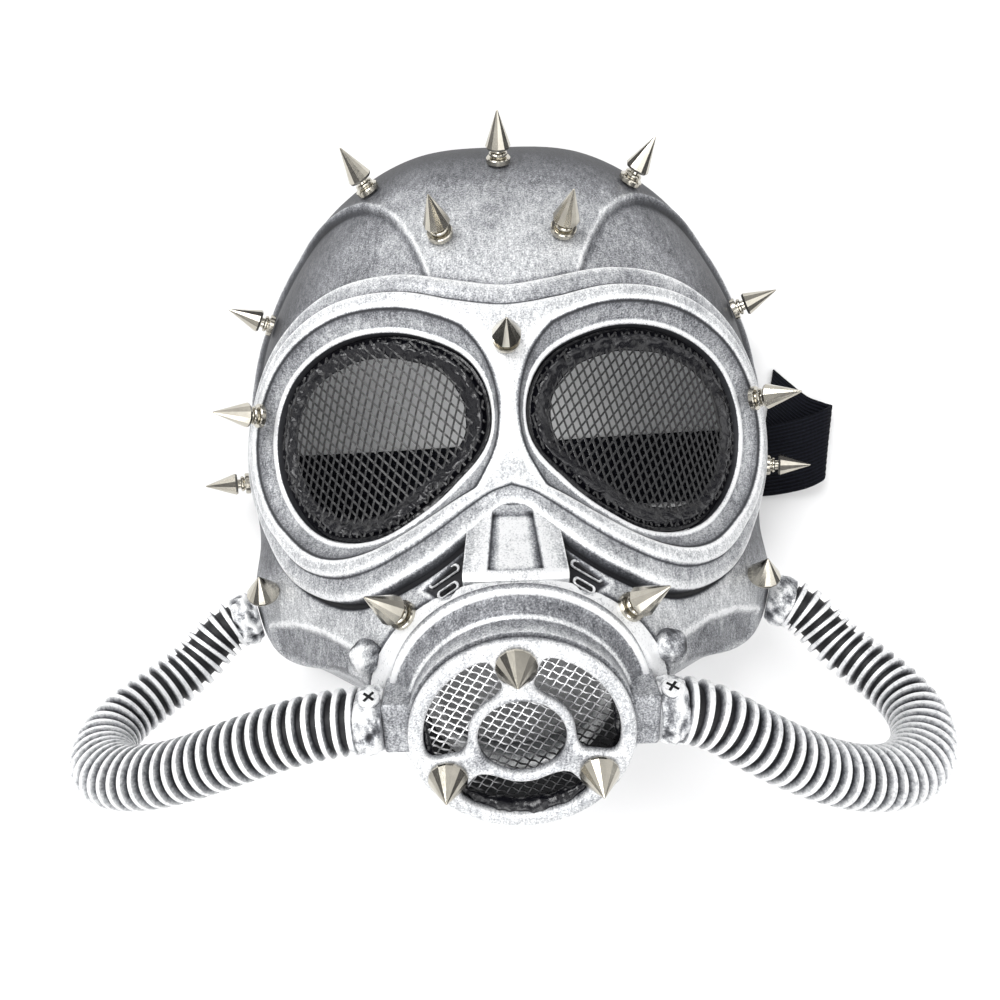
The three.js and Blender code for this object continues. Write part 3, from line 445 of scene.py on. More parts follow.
def add_strand(points: list, faces: list, base: int, path: Array, z: Array, side: Array, rise: float) -> int:
    """Adds one flat four-sided strand of a mesh to lists of points and faces.

    Args:
        points: where its corners are added.
        faces: where its faces are added.
        base: how many corners the list holds already.
        path: x and y along its middle.
        z: heights along its middle.
        side: half its width, as a step in x and y.
        rise: half its thickness.

    Returns:
        How many corners it has.
    """
    mid = np.column_stack([path, z])
    wide, tall = np.array([side[0], side[1], 0]), np.array([0, 0, rise])
    ring = np.stack([mid + wide + tall, mid - wide + tall, mid - wide - tall, mid + wide - tall], axis=1)
    points.append(ring.reshape(-1, 3))
    faces.append(grid_faces(len(z), 4, False, True) + base)
    faces.append(np.array(ring_caps(len(z), 4)) + base)
    return 4 * len(z)


def packed_corners(node: str) -> Array:
    """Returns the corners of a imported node, in the frame's axes and in mm."""
    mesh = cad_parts[node].data
    corners = np.empty(len(mesh.vertices) * 3)
    mesh.vertices.foreach_get("co", corners)
    return corners.reshape(-1, 3) / MM


# Materials

class NodeBench:
    """A material's node tree with short ways to add to it."""

    def __init__(self, name: str) -> None:
        """Starts a material with a Principled shader."""
        self.material = bpy.data.materials.new(name)
        self.material.use_nodes = True
        self.tree = self.material.node_tree
        self.shader = self.tree.nodes["Principled BSDF"]
        self.place = self.tree.nodes.new("ShaderNodeTexCoord").outputs["Object"]

    def add(self, kind: str, **sockets) -> bpy.types.Node:
        """Adds a node, linking or setting its inputs by name, with spaces written as underscores."""
        node = self.tree.nodes.new(kind)
        for key, value in sockets.items():
            self.join(node, key.replace("_", " "), value)
        return node

    def join(self, node: bpy.types.Node, key: str, value) -> None:
        """Links a socket, or sets it to a plain value."""
        socket = node.inputs[key]
        if isinstance(value, bpy.types.NodeSocket):
            self.tree.links.new(value, socket)
        else:
            socket.default_value = value

    def noise(self, scale: float, detail: float = 4.0, rough: float = 0.6, at=None) -> bpy.types.NodeSocket:
        """Returns a noise value from 0 to 1 over the piece."""
        node = self.add("ShaderNodeTexNoise", Vector=at or self.place, Scale=scale, Detail=detail,
                        Roughness=rough)
        return node.outputs["Fac"]

    def math(self, operation: str, a, b=0.0, c=0.0) -> bpy.types.NodeSocket:
        """Returns the outcome of a math node on sockets or numbers."""
        node = self.tree.nodes.new("ShaderNodeMath")
        node.operation = operation
        for socket, value in zip(node.inputs, (a, b, c)):
            if isinstance(value, bpy.types.NodeSocket):
                self.tree.links.new(value, socket)
            else:
                socket.default_value = value
        return node.outputs[0]

    def ramp(self, value, stops: list[tuple[float, tuple[float, float, float]]]) -> bpy.types.NodeSocket:
        """Returns a colour from a ramp of places and colours."""
        node = self.add("ShaderNodeValToRGB", Fac=value)
        while len(node.color_ramp.elements) < len(stops):
            node.color_ramp.elements.new(0.5)
        for element, (place, colour) in zip(node.color_ramp.elements, stops):
            element.position = place
            element.color = (*colour, 1)
        return node.outputs["Color"]

    def attribute(self, name: str) -> bpy.types.NodeSocket:
        """Returns a number kept on the mesh."""
        node = self.tree.nodes.new("ShaderNodeAttribute")
        node.attribute_name = name
        return node.outputs["Fac"]

    def stretched(self, x: float, y: float, z: float) -> bpy.types.NodeSocket:
        """Returns object coordinates scaled by axis."""
        return self.add("ShaderNodeMapping", Vector=self.place, Scale=(x, y, z)).outputs["Vector"]

    def bump(self, height, distance: float, strength: float = 1.0, normal=None) -> bpy.types.NodeSocket:
        """Returns a bumped normal from a height."""
        node = self.add("ShaderNodeBump", Height=height, Distance=distance, Strength=strength)
        if normal is not None:
            self.join(node, "Normal", normal)
        return node.outputs["Normal"]

    def finish(self, **sockets) -> bpy.types.Material:
        """Sets the shader's sockets and returns the material."""
        for key, value in sockets.items():
            self.join(self.shader, key.replace("_", " "), value)
        return self.material


@dataclass(frozen=True)
class BrushedSilver:
    """Black moulding with silver paint dragged over what stands proud; its paint attribute also carries
    painted shade and painted light.
    """

    name: str
    speckle: float = 2300.0
    streak: float = 330.0
    contrast: float = 0.68

    def build(self) -> bpy.types.Material:
        """Returns the material: paint, speckle and streaks through a ramp from black to silver."""
        bench = NodeBench(self.name)
        fine = bench.noise(self.speckle, 2.0, 0.7)
        cloud = bench.noise(75.0, 4.0, 0.6)
        drag = bench.noise(self.streak, 4.0, 0.65, bench.stretched(3.0, 1.0, 1.0))
        grain = bench.math("ADD", bench.math("MULTIPLY", fine, 0.5), bench.math("MULTIPLY", drag, 0.28))
        grain = bench.math("ADD", grain, bench.math("MULTIPLY", cloud, 0.22))
        spread = bench.math("MULTIPLY", bench.math("SUBTRACT", grain, 0.5), self.contrast * 3.2)
        paint = bench.attribute("paint")
        held = bench.math("MINIMUM", bench.math("MULTIPLY", paint, 2.2), 1.0)
        cover = bench.math("ADD", paint, bench.math("MULTIPLY", spread, held))
        colour = bench.ramp(cover, [
            (0.0, (0.004, 0.004, 0.006)), (0.2, (0.045, 0.047, 0.054)), (0.42, (0.19, 0.195, 0.21)),
            (0.65, (0.46, 0.47, 0.485)), (0.92, (0.86, 0.865, 0.87)),
        ])
        shine = bench.math("MULTIPLY", cover, 0.5)
        rough = bench.math("SUBTRACT", 0.6, bench.math("MULTIPLY", cover, 0.2))
        return bench.finish(Base_Color=colour, Metallic=bench.math("MINIMUM", shine, 0.3), Roughness=rough,
                            Normal=bench.bump(grain, 0.0002, 0.6))


@dataclass(frozen=True)
class PolishedNickel:
    """Warm polished nickel with fine turning marks."""

    name: str
    colour: tuple[float, float, float] = (0.56, 0.53, 0.46)

    def build(self) -> bpy.types.Material:
        """Returns the material: a metal whose tone and gloss vary a little over the piece."""
        bench = NodeBench(self.name)
        tone = bench.noise(220.0, 2.0)
        dark = tuple(0.8 * c for c in self.colour)
        colour = bench.ramp(tone, [(0.3, dark), (0.7, self.colour)])
        rough = bench.math("ADD", 0.1, bench.math("MULTIPLY", bench.noise(1800.0, 2.0), 0.14))
        return bench.finish(Base_Color=colour, Metallic=1.0, Roughness=rough)


@dataclass(frozen=True)
class GlossBlack:
    """Hot glue or coated wire, and the painted shade in openings: near black, with gloss that breaks up."""

    name: str
    colour: tuple[float, float, float]
    rough: float
    dust: float

    def build(self) -> bpy.types.Material:
        """Returns the material: dark, with paler dust where a noise is high."""
        bench = NodeBench(self.name)
        tone = bench.noise(700.0, 4.0, 0.7)
        pale = tuple(c + self.dust for c in self.colour)
        colour = bench.ramp(tone, [(0.45, self.colour), (0.75, pale)])
        rough = bench.math("ADD", self.rough, bench.math("MULTIPLY", tone, 0.15))
        return bench.finish(Base_Color=colour, Roughness=rough, Normal=bench.bump(tone, 0.0003, 0.6))


@dataclass(frozen=True)
class SilverWire:
    """Bare expanded metal, dulled in places."""

    name: str

    def build(self) -> bpy.types.Material:
        """Returns the material: grey metal that darkens with a broad noise and the paint attribute."""
        bench = NodeBench(self.name)
        cloud = bench.math("SUBTRACT", bench.noise(140.0, 3.0), 0.5)
        tone = bench.math("ADD", bench.attribute("paint"), cloud)
        colour = bench.ramp(tone, [
            (0.1, (0.03, 0.03, 0.032)), (0.5, (0.35, 0.35, 0.36)), (0.85, (0.85, 0.85, 0.86)),
        ])
        return bench.finish(Base_Color=colour, Metallic=0.6, Roughness=0.38)


@dataclass(frozen=True)
class RibbedElastic:
    """Woven elastic with ribs along its length."""

    name: str
    ribs: float = 20.0

    def build(self) -> bpy.types.Material:
        """Returns the material: ribs across and picks along, from the piece's own map."""
        bench = NodeBench(self.name)
        own = bench.tree.nodes.new("ShaderNodeUVMap")
        own.uv_map = "own"
        parts = bench.add("ShaderNodeSeparateXYZ", Vector=own.outputs["UV"])
        rib = bench.math("SINE", bench.math("MULTIPLY", parts.outputs["X"], self.ribs * 2 * math.pi))
        pick = bench.math("SINE", bench.math("MULTIPLY", parts.outputs["Y"], 5200.0))
        height = bench.math("ADD", rib, bench.math("MULTIPLY", pick, 0.15))
        tone = bench.math("ADD", bench.math("MULTIPLY", height, 0.3), bench.noise(900.0))
        colour = bench.ramp(tone, [(0.2, (0.001, 0.0012, 0.003)), (0.9, (0.006, 0.007, 0.013))])
        return bench.finish(Base_Color=colour, Roughness=0.9, Specular_IOR_Level=0.2,
                            Normal=bench.bump(height, 0.0004, 0.8))


@dataclass(frozen=True)
class PlainFloor:
    """Pale matt floor."""

    name: str

    def build(self) -> bpy.types.Material:
        """Returns the material."""
        bench = NodeBench(self.name)
        colour = bench.ramp(bench.noise(3.0, 2.0), [(0.0, (0.79, 0.79, 0.79)), (1.0, (0.81, 0.81, 0.81))])
        return bench.finish(Base_Color=colour, Roughness=0.8)


@dataclass(frozen=True)
class Materials:
    """Every finish of the mask, made once."""

    silver: bpy.types.Material
    nickel: bpy.types.Material
    wire: bpy.types.Material
    glue: bpy.types.Material
    silver_wire: bpy.types.Material
    elastic: bpy.types.Material
    hose: bpy.types.Material
    anchor: bpy.types.Material
    hole: bpy.types.Material

    @staticmethod
    def make() -> "Materials":
        """Builds them all."""
        return Materials(
            silver=BrushedSilver("dry_brushed_silver").build(),
            nickel=PolishedNickel("polished_nickel").build(),
            wire=GlossBlack("coated_wire", (0.003, 0.003, 0.004), 0.3, 0.01).build(),
            glue=GlossBlack("hot_glue", (0.002, 0.002, 0.004), 0.1, 0.006).build(),
            silver_wire=SilverWire("bare_mesh").build(),
            elastic=RibbedElastic("ribbed_elastic").build(),
            hose=BrushedSilver("brushed_hose", 1100.0, 320.0, 0.5).build(),
            anchor=GlossBlack("anchor_plastic", (0.015, 0.015, 0.016), 0.5, 0.02).build(),
            # Painted shade: a near-black sheet that stands in for the shade inside slots and screw crosses
            hole=GlossBlack("painted_shade_opening", (0.002, 0.002, 0.003), 0.9, 0.003).build(),
        )


# Shell

@dataclass
class ShellSkin:
    """The moulded shell outside the goggle surround, one closed wall from the surround down to the rim."""

    turns_coarse: int = 440
    turns_nose: int = 190
    nose_sector: float = math.radians(38)
    rings: int = 128
    inner_rings: int = 12
    under_surround: float = 2.0
    temple_edge: float = 1.3
    collar_edge: float = 35.0
    collar_squeeze: float = 1.23
    collar_lift: float = 1.1
    crease_y: float = -45.5
    mouth_hole: float = 19.0
    lip_round: float = 0.35

    def angles(self) -> Array:
        """Returns angles once round, closer together below the nose."""
        nose = -math.pi / 2
        fine = nose + np.linspace(-self.nose_sector, self.nose_sector, self.turns_nose, endpoint=False)
        wide = np.linspace(nose + self.nose_sector, nose + 2 * math.pi - self.nose_sector, self.turns_coarse,
                           endpoint=False)
        return np.concatenate([fine, wide])

    def relief(self, x: Array, y: Array) -> tuple[Array, Array]:
        """Relief of the shell and the silver that lies on it.

        The temple panels are sunk inside their outline with a raised lip outside it. The cheek's lower facet
        is sunk under its crease. A channel runs below the surround and a collar stands round the canister.

        Args:
            x: places across the mask.
            y: places along the mask.

        Returns:
            The lift and the paint at each place; the paint holds painted light and painted shade as well as
            the silver.
        """
        s = SIZES
        ax = np.abs(x)
        up_facing = FORM.normal(x, y)[..., 2]
        # Painted light: faces that look up get more paint, standing in for the light from above; the chin end
        # is brighter too
        paint = 0.25 + 0.37 * step_between(up_facing, 0.45, 0.97) + 0.26 * step_between(-y, 20, 42)
        # Painted reflection: steep side walls are brightened, standing in for the pale surroundings they
        # reflect
        paint += 0.3 * (1 - step_between(up_facing, 0.1, 0.5)) * step_between(y, -30, 0)
        temple = distance_inside(FORM.temple_outline, ax, y)
        lift = -s.temple_depth * step_between(temple, 0, self.temple_edge)
        lift += 0.35 * bell(temple + 0.5, 0.55)
        # The bell term is a painted shadow line just inside the temple panel, at the foot of its step
        paint -= 0.08 * step_between(temple, 0, 1.0) + 0.18 * bell(temple - self.temple_edge, 0.9)
        paint += 0.3 * bell(temple + 0.45, 0.55)
        # Painted shade: the forehead is darker towards its far edge outside the temple panels
        paint -= 0.2 * step_between(y, 66, 92) * (temple < 0)
        up = y - s.mouth_y
        away = np.hypot(x, np.where(up > 0, up * self.collar_squeeze, up))
        collar = 1 - step_between(away, self.collar_edge - 0.4, self.collar_edge + 0.4)
        lift += self.collar_lift * collar
        paint += 0.22 * collar
        paint += 0.4 * bell(away - self.collar_edge + 0.7, 0.45)
        # Painted shadow: a dark line just outside the collar, at the foot of its step
        paint -= 0.5 * bell(away - self.collar_edge - 0.7, 0.55)
        edge = distance_inside(FORM.surround_outline, x, y)
        low = step_between(-y, 5, 18)
        channel = low * (1 - step_between(-edge, 0.9, 1.8))
        lift -= 0.7 * channel
        # Painted shadow: the channel and a narrow band just outside the surround's edge are darkened,
        # standing in for the shade under the surround's step
        paint -= 0.5 * channel + 0.25 * bell(edge + 0.5, 1.2)
        facet = distance_inside(JAW_FACET, ax, y)
        crease = step_between(y, self.crease_y - 1, self.crease_y + 1)
        lift += 0.5 * bell(facet + 0.9, 0.7) * crease
        lift -= 0.8 * step_between(facet, 0, 1.4)
        paint += 0.35 * bell(facet + 0.7, 0.6) * crease
        paint -= 0.18 * step_between(facet, 0, 1.4)
        vent = distance_inside(VENT_RECESS, ax, y)
        lift -= 1.3 * step_between(vent, 0, 0.8)
        paint += 0.4 * bell(vent + 0.35, 0.4) - 0.5 * step_between(vent, 0, 0.6)
        return lift, np.clip(paint, 0, 1)

    def build(self, finishes: Materials) -> bpy.types.Object:
        """Makes the wall as closed loops: out over the relief, under the rim and back up inside."""
        angle = self.angles()
        cx, cy = np.cos(angle), np.sin(angle)
        start = FORM.surround_radius(cx, cy) - self.under_surround
        rim = FORM.rim_radius(cx, cy)
        share = np.linspace(0, 1, self.rings) ** 0.93
        outer_radius = start + (rim - start) * share[:, None]
        x, y = outer_radius * cx, outer_radius * cy
        lift, paint = self.relief(x, y)
        fade = 1 - step_between(outer_radius / rim, 0.985, 1)
        outer = FORM.point(x, y, lift * fade)
        off_arch = (outer_radius[-1] * cy - SIZES.arch_middle) / (SIZES.arch_length / 2)
        arch = SIZES.arch_height * np.sqrt(np.clip(1 - off_arch ** 2, 0, 1))
        outer[..., 2] = np.maximum(outer[..., 2], arch)
        lips = []
        for inset in (0.0, self.lip_round, SIZES.wall - self.lip_round, SIZES.wall):
            radius = rim - inset
            drop = 0.25 if inset in (0.0, SIZES.wall) else 0.0
            lips.append(np.stack([radius * cx, radius * cy, arch + drop], axis=-1))
        inner_share = np.linspace(1, 0, self.inner_rings + 1)[1:]
        inner_radius = start + (rim - SIZES.wall * 0.3 - start) * inner_share[:, None]
        ix, iy = inner_radius * cx, inner_radius * cy
        inner = FORM.point(ix, iy, np.full(ix.shape, -SIZES.wall))
        inner[..., 2] = np.maximum(inner[..., 2], arch + 0.3)
        points = np.concatenate([outer[:-1], np.array(lips), inner])
        tone = np.concatenate([paint[:-1], np.full((4, len(angle)), 0.35), np.full(ix.shape, 0.7)])
        faces = grid_faces(len(points), len(angle), True, True)
        piece = make_mesh("shell_skin", points, faces, tone)
        self.open_mouth(piece)
        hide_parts("face_shell")
        return dress(piece, finishes.silver)

    def open_mouth(self, piece: bpy.types.Object) -> None:
        """Opens the round hole behind the canister.

        Corners inside a cylinder on the canister's axis are deleted from both skins, the ragged edges that
        this leaves are moved out to the cylinder, and the two edges are joined through the wall.
        """
        shape = bmesh.new()
        shape.from_mesh(piece.data)
        origin = np.array([0, SIZES.mouth_y, SIZES.mouth_height])
        places = np.array([v.co for v in shape.verts]) / MM - SHIFT - origin
        c, k = math.cos(SIZES.mouth_tilt), math.sin(SIZES.mouth_tilt)
        local = np.column_stack([places[:, 0], c * places[:, 1] + k * places[:, 2],
                                 c * places[:, 2] - k * places[:, 1]])
        radius = np.hypot(local[:, 0], local[:, 1])
        gone = (radius < self.mouth_hole) & (np.abs(local[:, 2]) < 30)
        shape.verts.ensure_lookup_table()
        bmesh.ops.delete(shape, geom=[v for v, out in zip(list(shape.verts), gone) if out], context="VERTS")
        rims = [e for e in shape.edges if e.is_boundary]
        for corner in {v for e in rims for v in e.verts}:
            spot = np.array(corner.co) / MM - SHIFT - origin
            x, y, z = spot[0], c * spot[1] + k * spot[2], c * spot[2] - k * spot[1]
            out = self.mouth_hole / math.hypot(x, y)
            corner.co = Vector((FORM.on_mouth(np.array([x * out, y * out, z])) + SHIFT) * MM)
        bmesh.ops.bridge_loops(shape, edges=rims)
        bmesh.ops.recalc_face_normals(shape, faces=shape.faces)
        shape.to_mesh(piece.data)
        shape.free()


# Section of the goggle surround from the eye opening out: place in bands (0 opening, 1 lip, 2 bevel's top,
# 3 outer step, 4 outer edge), lift in mm and paint. The low paint on the opening's inner wall, in the groove,
# at the step and at the outer foot is painted shade.
SURROUND_SECTION = np.array([
    (0.00, -3.0, 0.02), (0.00, 0.45, 0.08), (0.03, 0.60, 0.75), (0.25, 1.00, 0.98),
    (0.60, 1.15, 1.00), (0.90, 1.05, 0.80), (1.05, 0.95, 0.50), (1.30, 1.75, 0.52),
    (1.55, 2.60, 0.46), (1.80, 3.45, 0.36), (1.92, 3.80, 0.05),
    (1.98, 3.90, 0.10), (2.05, 4.30, 0.90), (2.15, 4.50, 0.95), (2.35, 4.62, 0.72), (2.60, 4.60, 0.70),
    (2.80, 4.50, 0.80), (2.93, 4.30, 0.98), (3.00, 3.60, 0.55), (3.04, 3.10, 0.08), (3.12, 2.95, 0.50),
    (3.35, 3.10, 0.58), (3.60, 3.05, 0.60), (3.82, 2.75, 0.80), (3.94, 2.30, 0.98), (4.00, 1.60, 0.30),
    (4.00, -1.10, 0.05),
])


@dataclass
class GoggleSurround:
    """The raised frame round both eyes, swept from each opening out to its outer edge."""

    turns: int = 420
    lip: float = 1.3
    bevel: float = 5.4
    outer: float = 6.3
    samples: int = 160
    longest_ray: float = 90.0

    def bands(self, x: Array, y: Array) -> Array:
        """Place of each point in bands from the opening to the outer edge.

        Args:
            x: places across, on the right half.
            y: places along.

        Returns:
            The band number, from 0 at the opening to 4 at the edge.
        """
        to_eye = np.maximum(-distance_inside(FORM.eye_outline, x, y), 0)
        to_other = np.maximum(-distance_inside(FORM.eye_outline * (-1, 1), x, y), 0)
        to_edge = np.maximum(distance_inside(FORM.surround_outline, x, y), 0)
        across = to_eye + to_edge
        bevel = np.minimum(np.minimum(0.34 * across, self.bevel), 0.2 * (to_eye + to_other))
        outer = np.minimum(0.38 * across, self.outer)
        lip = np.minimum(self.lip, 0.5 * bevel)
        band = np.where(to_eye < lip, to_eye / lip, 1 + (to_eye - lip) / (bevel - lip))
        middle = 2 + (to_eye - bevel) / np.maximum(across - outer - bevel, 1e-6)
        band = np.where(to_eye > bevel, middle, band)
        return np.where(to_edge < outer, 4 - to_edge / outer, band)

    def half(self) -> tuple[Array, Array]:
        """Returns the right half's closed loops of points and their paint."""
        centre = np.array([SIZES.eye_spacing / 2, SIZES.eye_y])
        edge_x, edge_y = FORM.eye_point(turns(self.turns), 0)
        start = np.hypot(edge_x - centre[0], edge_y - centre[1])
        cx, cy = (edge_x - centre[0]) / start, (edge_y - centre[1]) / start
        limit = np.where(cx < 0, -centre[0] / np.minimum(cx, -1e-9), self.longest_ray)
        reach = self.reach(centre, cx, cy, np.minimum(limit, self.longest_ray))
        steps = np.linspace(0, 1, self.samples)[:, None]
        radius = start + (reach - start) * steps
        band = self.bands(centre[0] + radius * cx, centre[1] + radius * cy)
        band = np.maximum.accumulate(band, axis=0)
        section = SURROUND_SECTION
        at_limit = reach >= limit - 1e-3
        rising = band + np.arange(self.samples)[:, None] * 1e-7
        wanted = np.stack([np.interp(section[:, 0], rising[:, i], radius[:, i]) for i in range(self.turns)],
                          axis=1)
        x = centre[0] + wanted * cx
        y = centre[1] + wanted * cy
        x = np.where(np.abs(x) < 1e-4, 0.0, x)
        reached = np.minimum(section[:, 0:1], band[-1][None, :])
        lift = np.interp(reached, section[1:-1, 0], section[1:-1, 1])
        lift[0] = section[0, 1]
        lift[-1] = section[-1, 1]
        paint = np.interp(reached, section[1:-1, 0], section[1:-1, 2])
        paint[0] = section[0, 2]
        paint[-1] = np.where(at_limit, paint[-2], section[-1, 2])
        return FORM.point(x, y, lift), paint

    def reach(self, centre: Array, cx: Array, cy: Array, limit: Array) -> Array:
        """Returns how far each ray runs to the outer edge or to the centre line, by halving the step."""
        outline = FORM.surround_outline
        low = np.zeros_like(cx)
        high = limit.copy()
        whole = distance_inside(outline, centre[0] + (high - 1e-6) * cx, centre[1] + high * cy) > 0
        for _ in range(30):
            middle = (low + high) / 2
            inside = distance_inside(outline, centre[0] + middle * cx, centre[1] + middle * cy) > 0
            low = np.where(inside, middle, low)
            high = np.where(inside, high, middle)
        return np.where(whole, limit, low)

    def build(self, finishes: Materials) -> bpy.types.Object:
        """Makes both halves, joined on the centre line, as one closed body."""
        points, paint = self.half()
        rows, columns = paint.shape
        faces = grid_faces(rows, columns, True, True)
        corner_x = points.reshape(-1, 3)[:, 0][faces]
        faces = faces[~(np.abs(corner_x) < 1e-5).all(axis=1)]
        both = np.concatenate([points.reshape(-1, 3), mirrored(points.reshape(-1, 3))])
        all_faces = np.concatenate([faces, faces[:, ::-1] + rows * columns])
        piece = make_mesh("goggle_surround", both, all_faces, np.concatenate([paint.ravel()] * 2), sharp=50,
                          weld=2e-6)
        return dress(piece, finishes.silver)


@dataclass
class NosePanel:
    """Raised hexagonal panel over the nose with a sunken middle."""

    top: float = -12.5
    bottom: float = -29.3
    lift: float = 2.3
    sink: float = 1.2
    root: float = -1.5

    def build(self, finishes: Materials) -> bpy.types.Object:
        """Makes the panel as rows across, each over the top and back underneath."""
        share = np.unique(np.concatenate([np.linspace(0, 1, 26), [0.1, 0.125, 0.86, 0.885]]))
        half = np.interp(share, [0, 0.12, 0.4, 1], [5.2, 6.3, 11.3, 12.2])
        inner = np.interp(share, [0, 1], [4.6, 6.3])
        y = self.top + (self.bottom - self.top) * share
        across = np.array([-1, -0.995, -0.97, -0.93])
        middle = np.array([-1.09, -1.03, -0.99, -0.93, -0.6, -0.3, 0, 0.3, 0.6, 0.93, 0.99, 1.03, 1.09])
        wide = half[:, None]
        x = np.concatenate([wide * across, inner[:, None] * middle, -wide * across[::-1]], axis=1)
        yy = np.repeat(y[:, None], x.shape[1], axis=1)
        edge = half[:, None] - np.abs(x)
        in_rows = step_between(share, 0.1, 0.125) * (1 - step_between(share, 0.86, 0.885))
        sunk = in_rows[:, None] * (1 - step_between(np.abs(x) / inner[:, None], 0.99, 1.03))
        lift = self.lift - self.sink * sunk - 1.5 * (1 - step_between(edge, 0, 0.35))
        lift -= 0.8 * step_between(share, 0.94, 1)[:, None]
        beyond = np.abs(x) - inner[:, None]
        paint = 0.56 + 0.42 * bell(edge, 0.6) + 0.5 * bell(beyond - 0.75, 0.55)
        well = 0.95 - 0.75 * bell(np.abs(x) / inner[:, None] - 1, 0.16)
        row_edge = np.minimum(np.abs(share - 0.125), np.abs(share - 0.87))[:, None]
        well = well - 0.6 * bell(row_edge, 0.03)
        paint = np.where(beyond < 0, paint + (well - paint) * in_rows[:, None], paint)
        paint += 0.35 * step_between(share, 0.885, 0.92)[:, None]
        top = FORM.point(x, yy, lift)
        under = FORM.point(x[:, ::-1], yy[:, ::-1], np.full(x.shape, self.root))
        points = np.concatenate([top, under], axis=1)
        tone = np.concatenate([np.clip(paint, 0, 1), np.full(x.shape, 0.1)], axis=1)
        rows, columns = tone.shape
        piece = make_mesh("nose_panel", points, grid_faces(rows, columns, False, True), tone,
                          caps=ring_caps(rows, columns))
        return dress(piece, finishes.silver)


@dataclass
class VentSlots:
    """Two round-ended slots on each side of the nose, each a raised rim round a dark floor of painted shade.
    """

    places: tuple = ((17.0, -27.0, 8.0), (15.9, -30.0, 5.2))
    turn: float = math.radians(-32)
    width: float = 1.5
    rim: float = 0.34
    level: float = -0.95

    def slot(self, x: float, y: float, length: float, side: int, name: str, finishes: Materials) -> None:
        """Makes one slot's rim as a round bar along a capsule outline, and its floor, a dark sheet of painted
        shade.

        Args:
            x: middle of the slot across.
            y: middle of the slot along.
            length: from end to end.
            side: 1 on the right, -1 on the left.
            name: the rim's name.
            finishes: the mask's materials.
        """
        angle = turns(40)
        straight = (length - self.width) / 2
        u = np.cos(angle) * self.width / 2 + np.where(np.cos(angle) > 0, straight, -straight)
        v = np.sin(angle) * self.width / 2
        px = x + u * math.cos(self.turn) - v * math.sin(self.turn)
        py = y + u * math.sin(self.turn) + v * math.cos(self.turn)
        ring = turns(8)
        centre = np.array([x, y])
        out = np.stack([px - centre[0], py - centre[1]], axis=-1)
        out /= np.linalg.norm(out, axis=1, keepdims=True)
        qx = px[:, None] + out[:, :1] * np.cos(ring) * self.rim
        qy = py[:, None] + out[:, 1:] * np.cos(ring) * self.rim
        lift = self.level + 0.3 + self.rim * np.sin(ring)[None, :] * np.ones_like(qx)
        points = FORM.point(side * qx, qy, lift)
        piece = make_mesh(name, points, grid_faces(len(angle), 8, True, True), np.full(qx.shape, 0.8))
        dress(piece, finishes.silver)
        # The floor is a dark sheet of painted shade at the bottom of the slot
        floor_rings = np.array([1.0, 0.6, 0.2])[:, None]
        fx = side * (x + (px - x) * floor_rings)
        fy = y + (py - y) * floor_rings
        top = FORM.point(fx, fy, np.full(fx.shape, self.level + 0.12))
        below = FORM.point(fx[::-1], fy[::-1], np.full(fx.shape, self.level - 0.5))
        both = np.concatenate([top, below])
        floor = make_mesh(name.replace("rim", "floor"), both, grid_faces(6, len(angle), True, True))
        dress(floor, finishes.hole)

    def build(self, finishes: Materials) -> None:
        """Makes the slots on both sides."""
        for side, word in ((1, "right"), (-1, "left")):
            for i, (x, y, length) in enumerate(self.places):
                self.slot(x, y, length, side, f"vent_rim_{i + 1}_{word}", finishes)


# Eyes

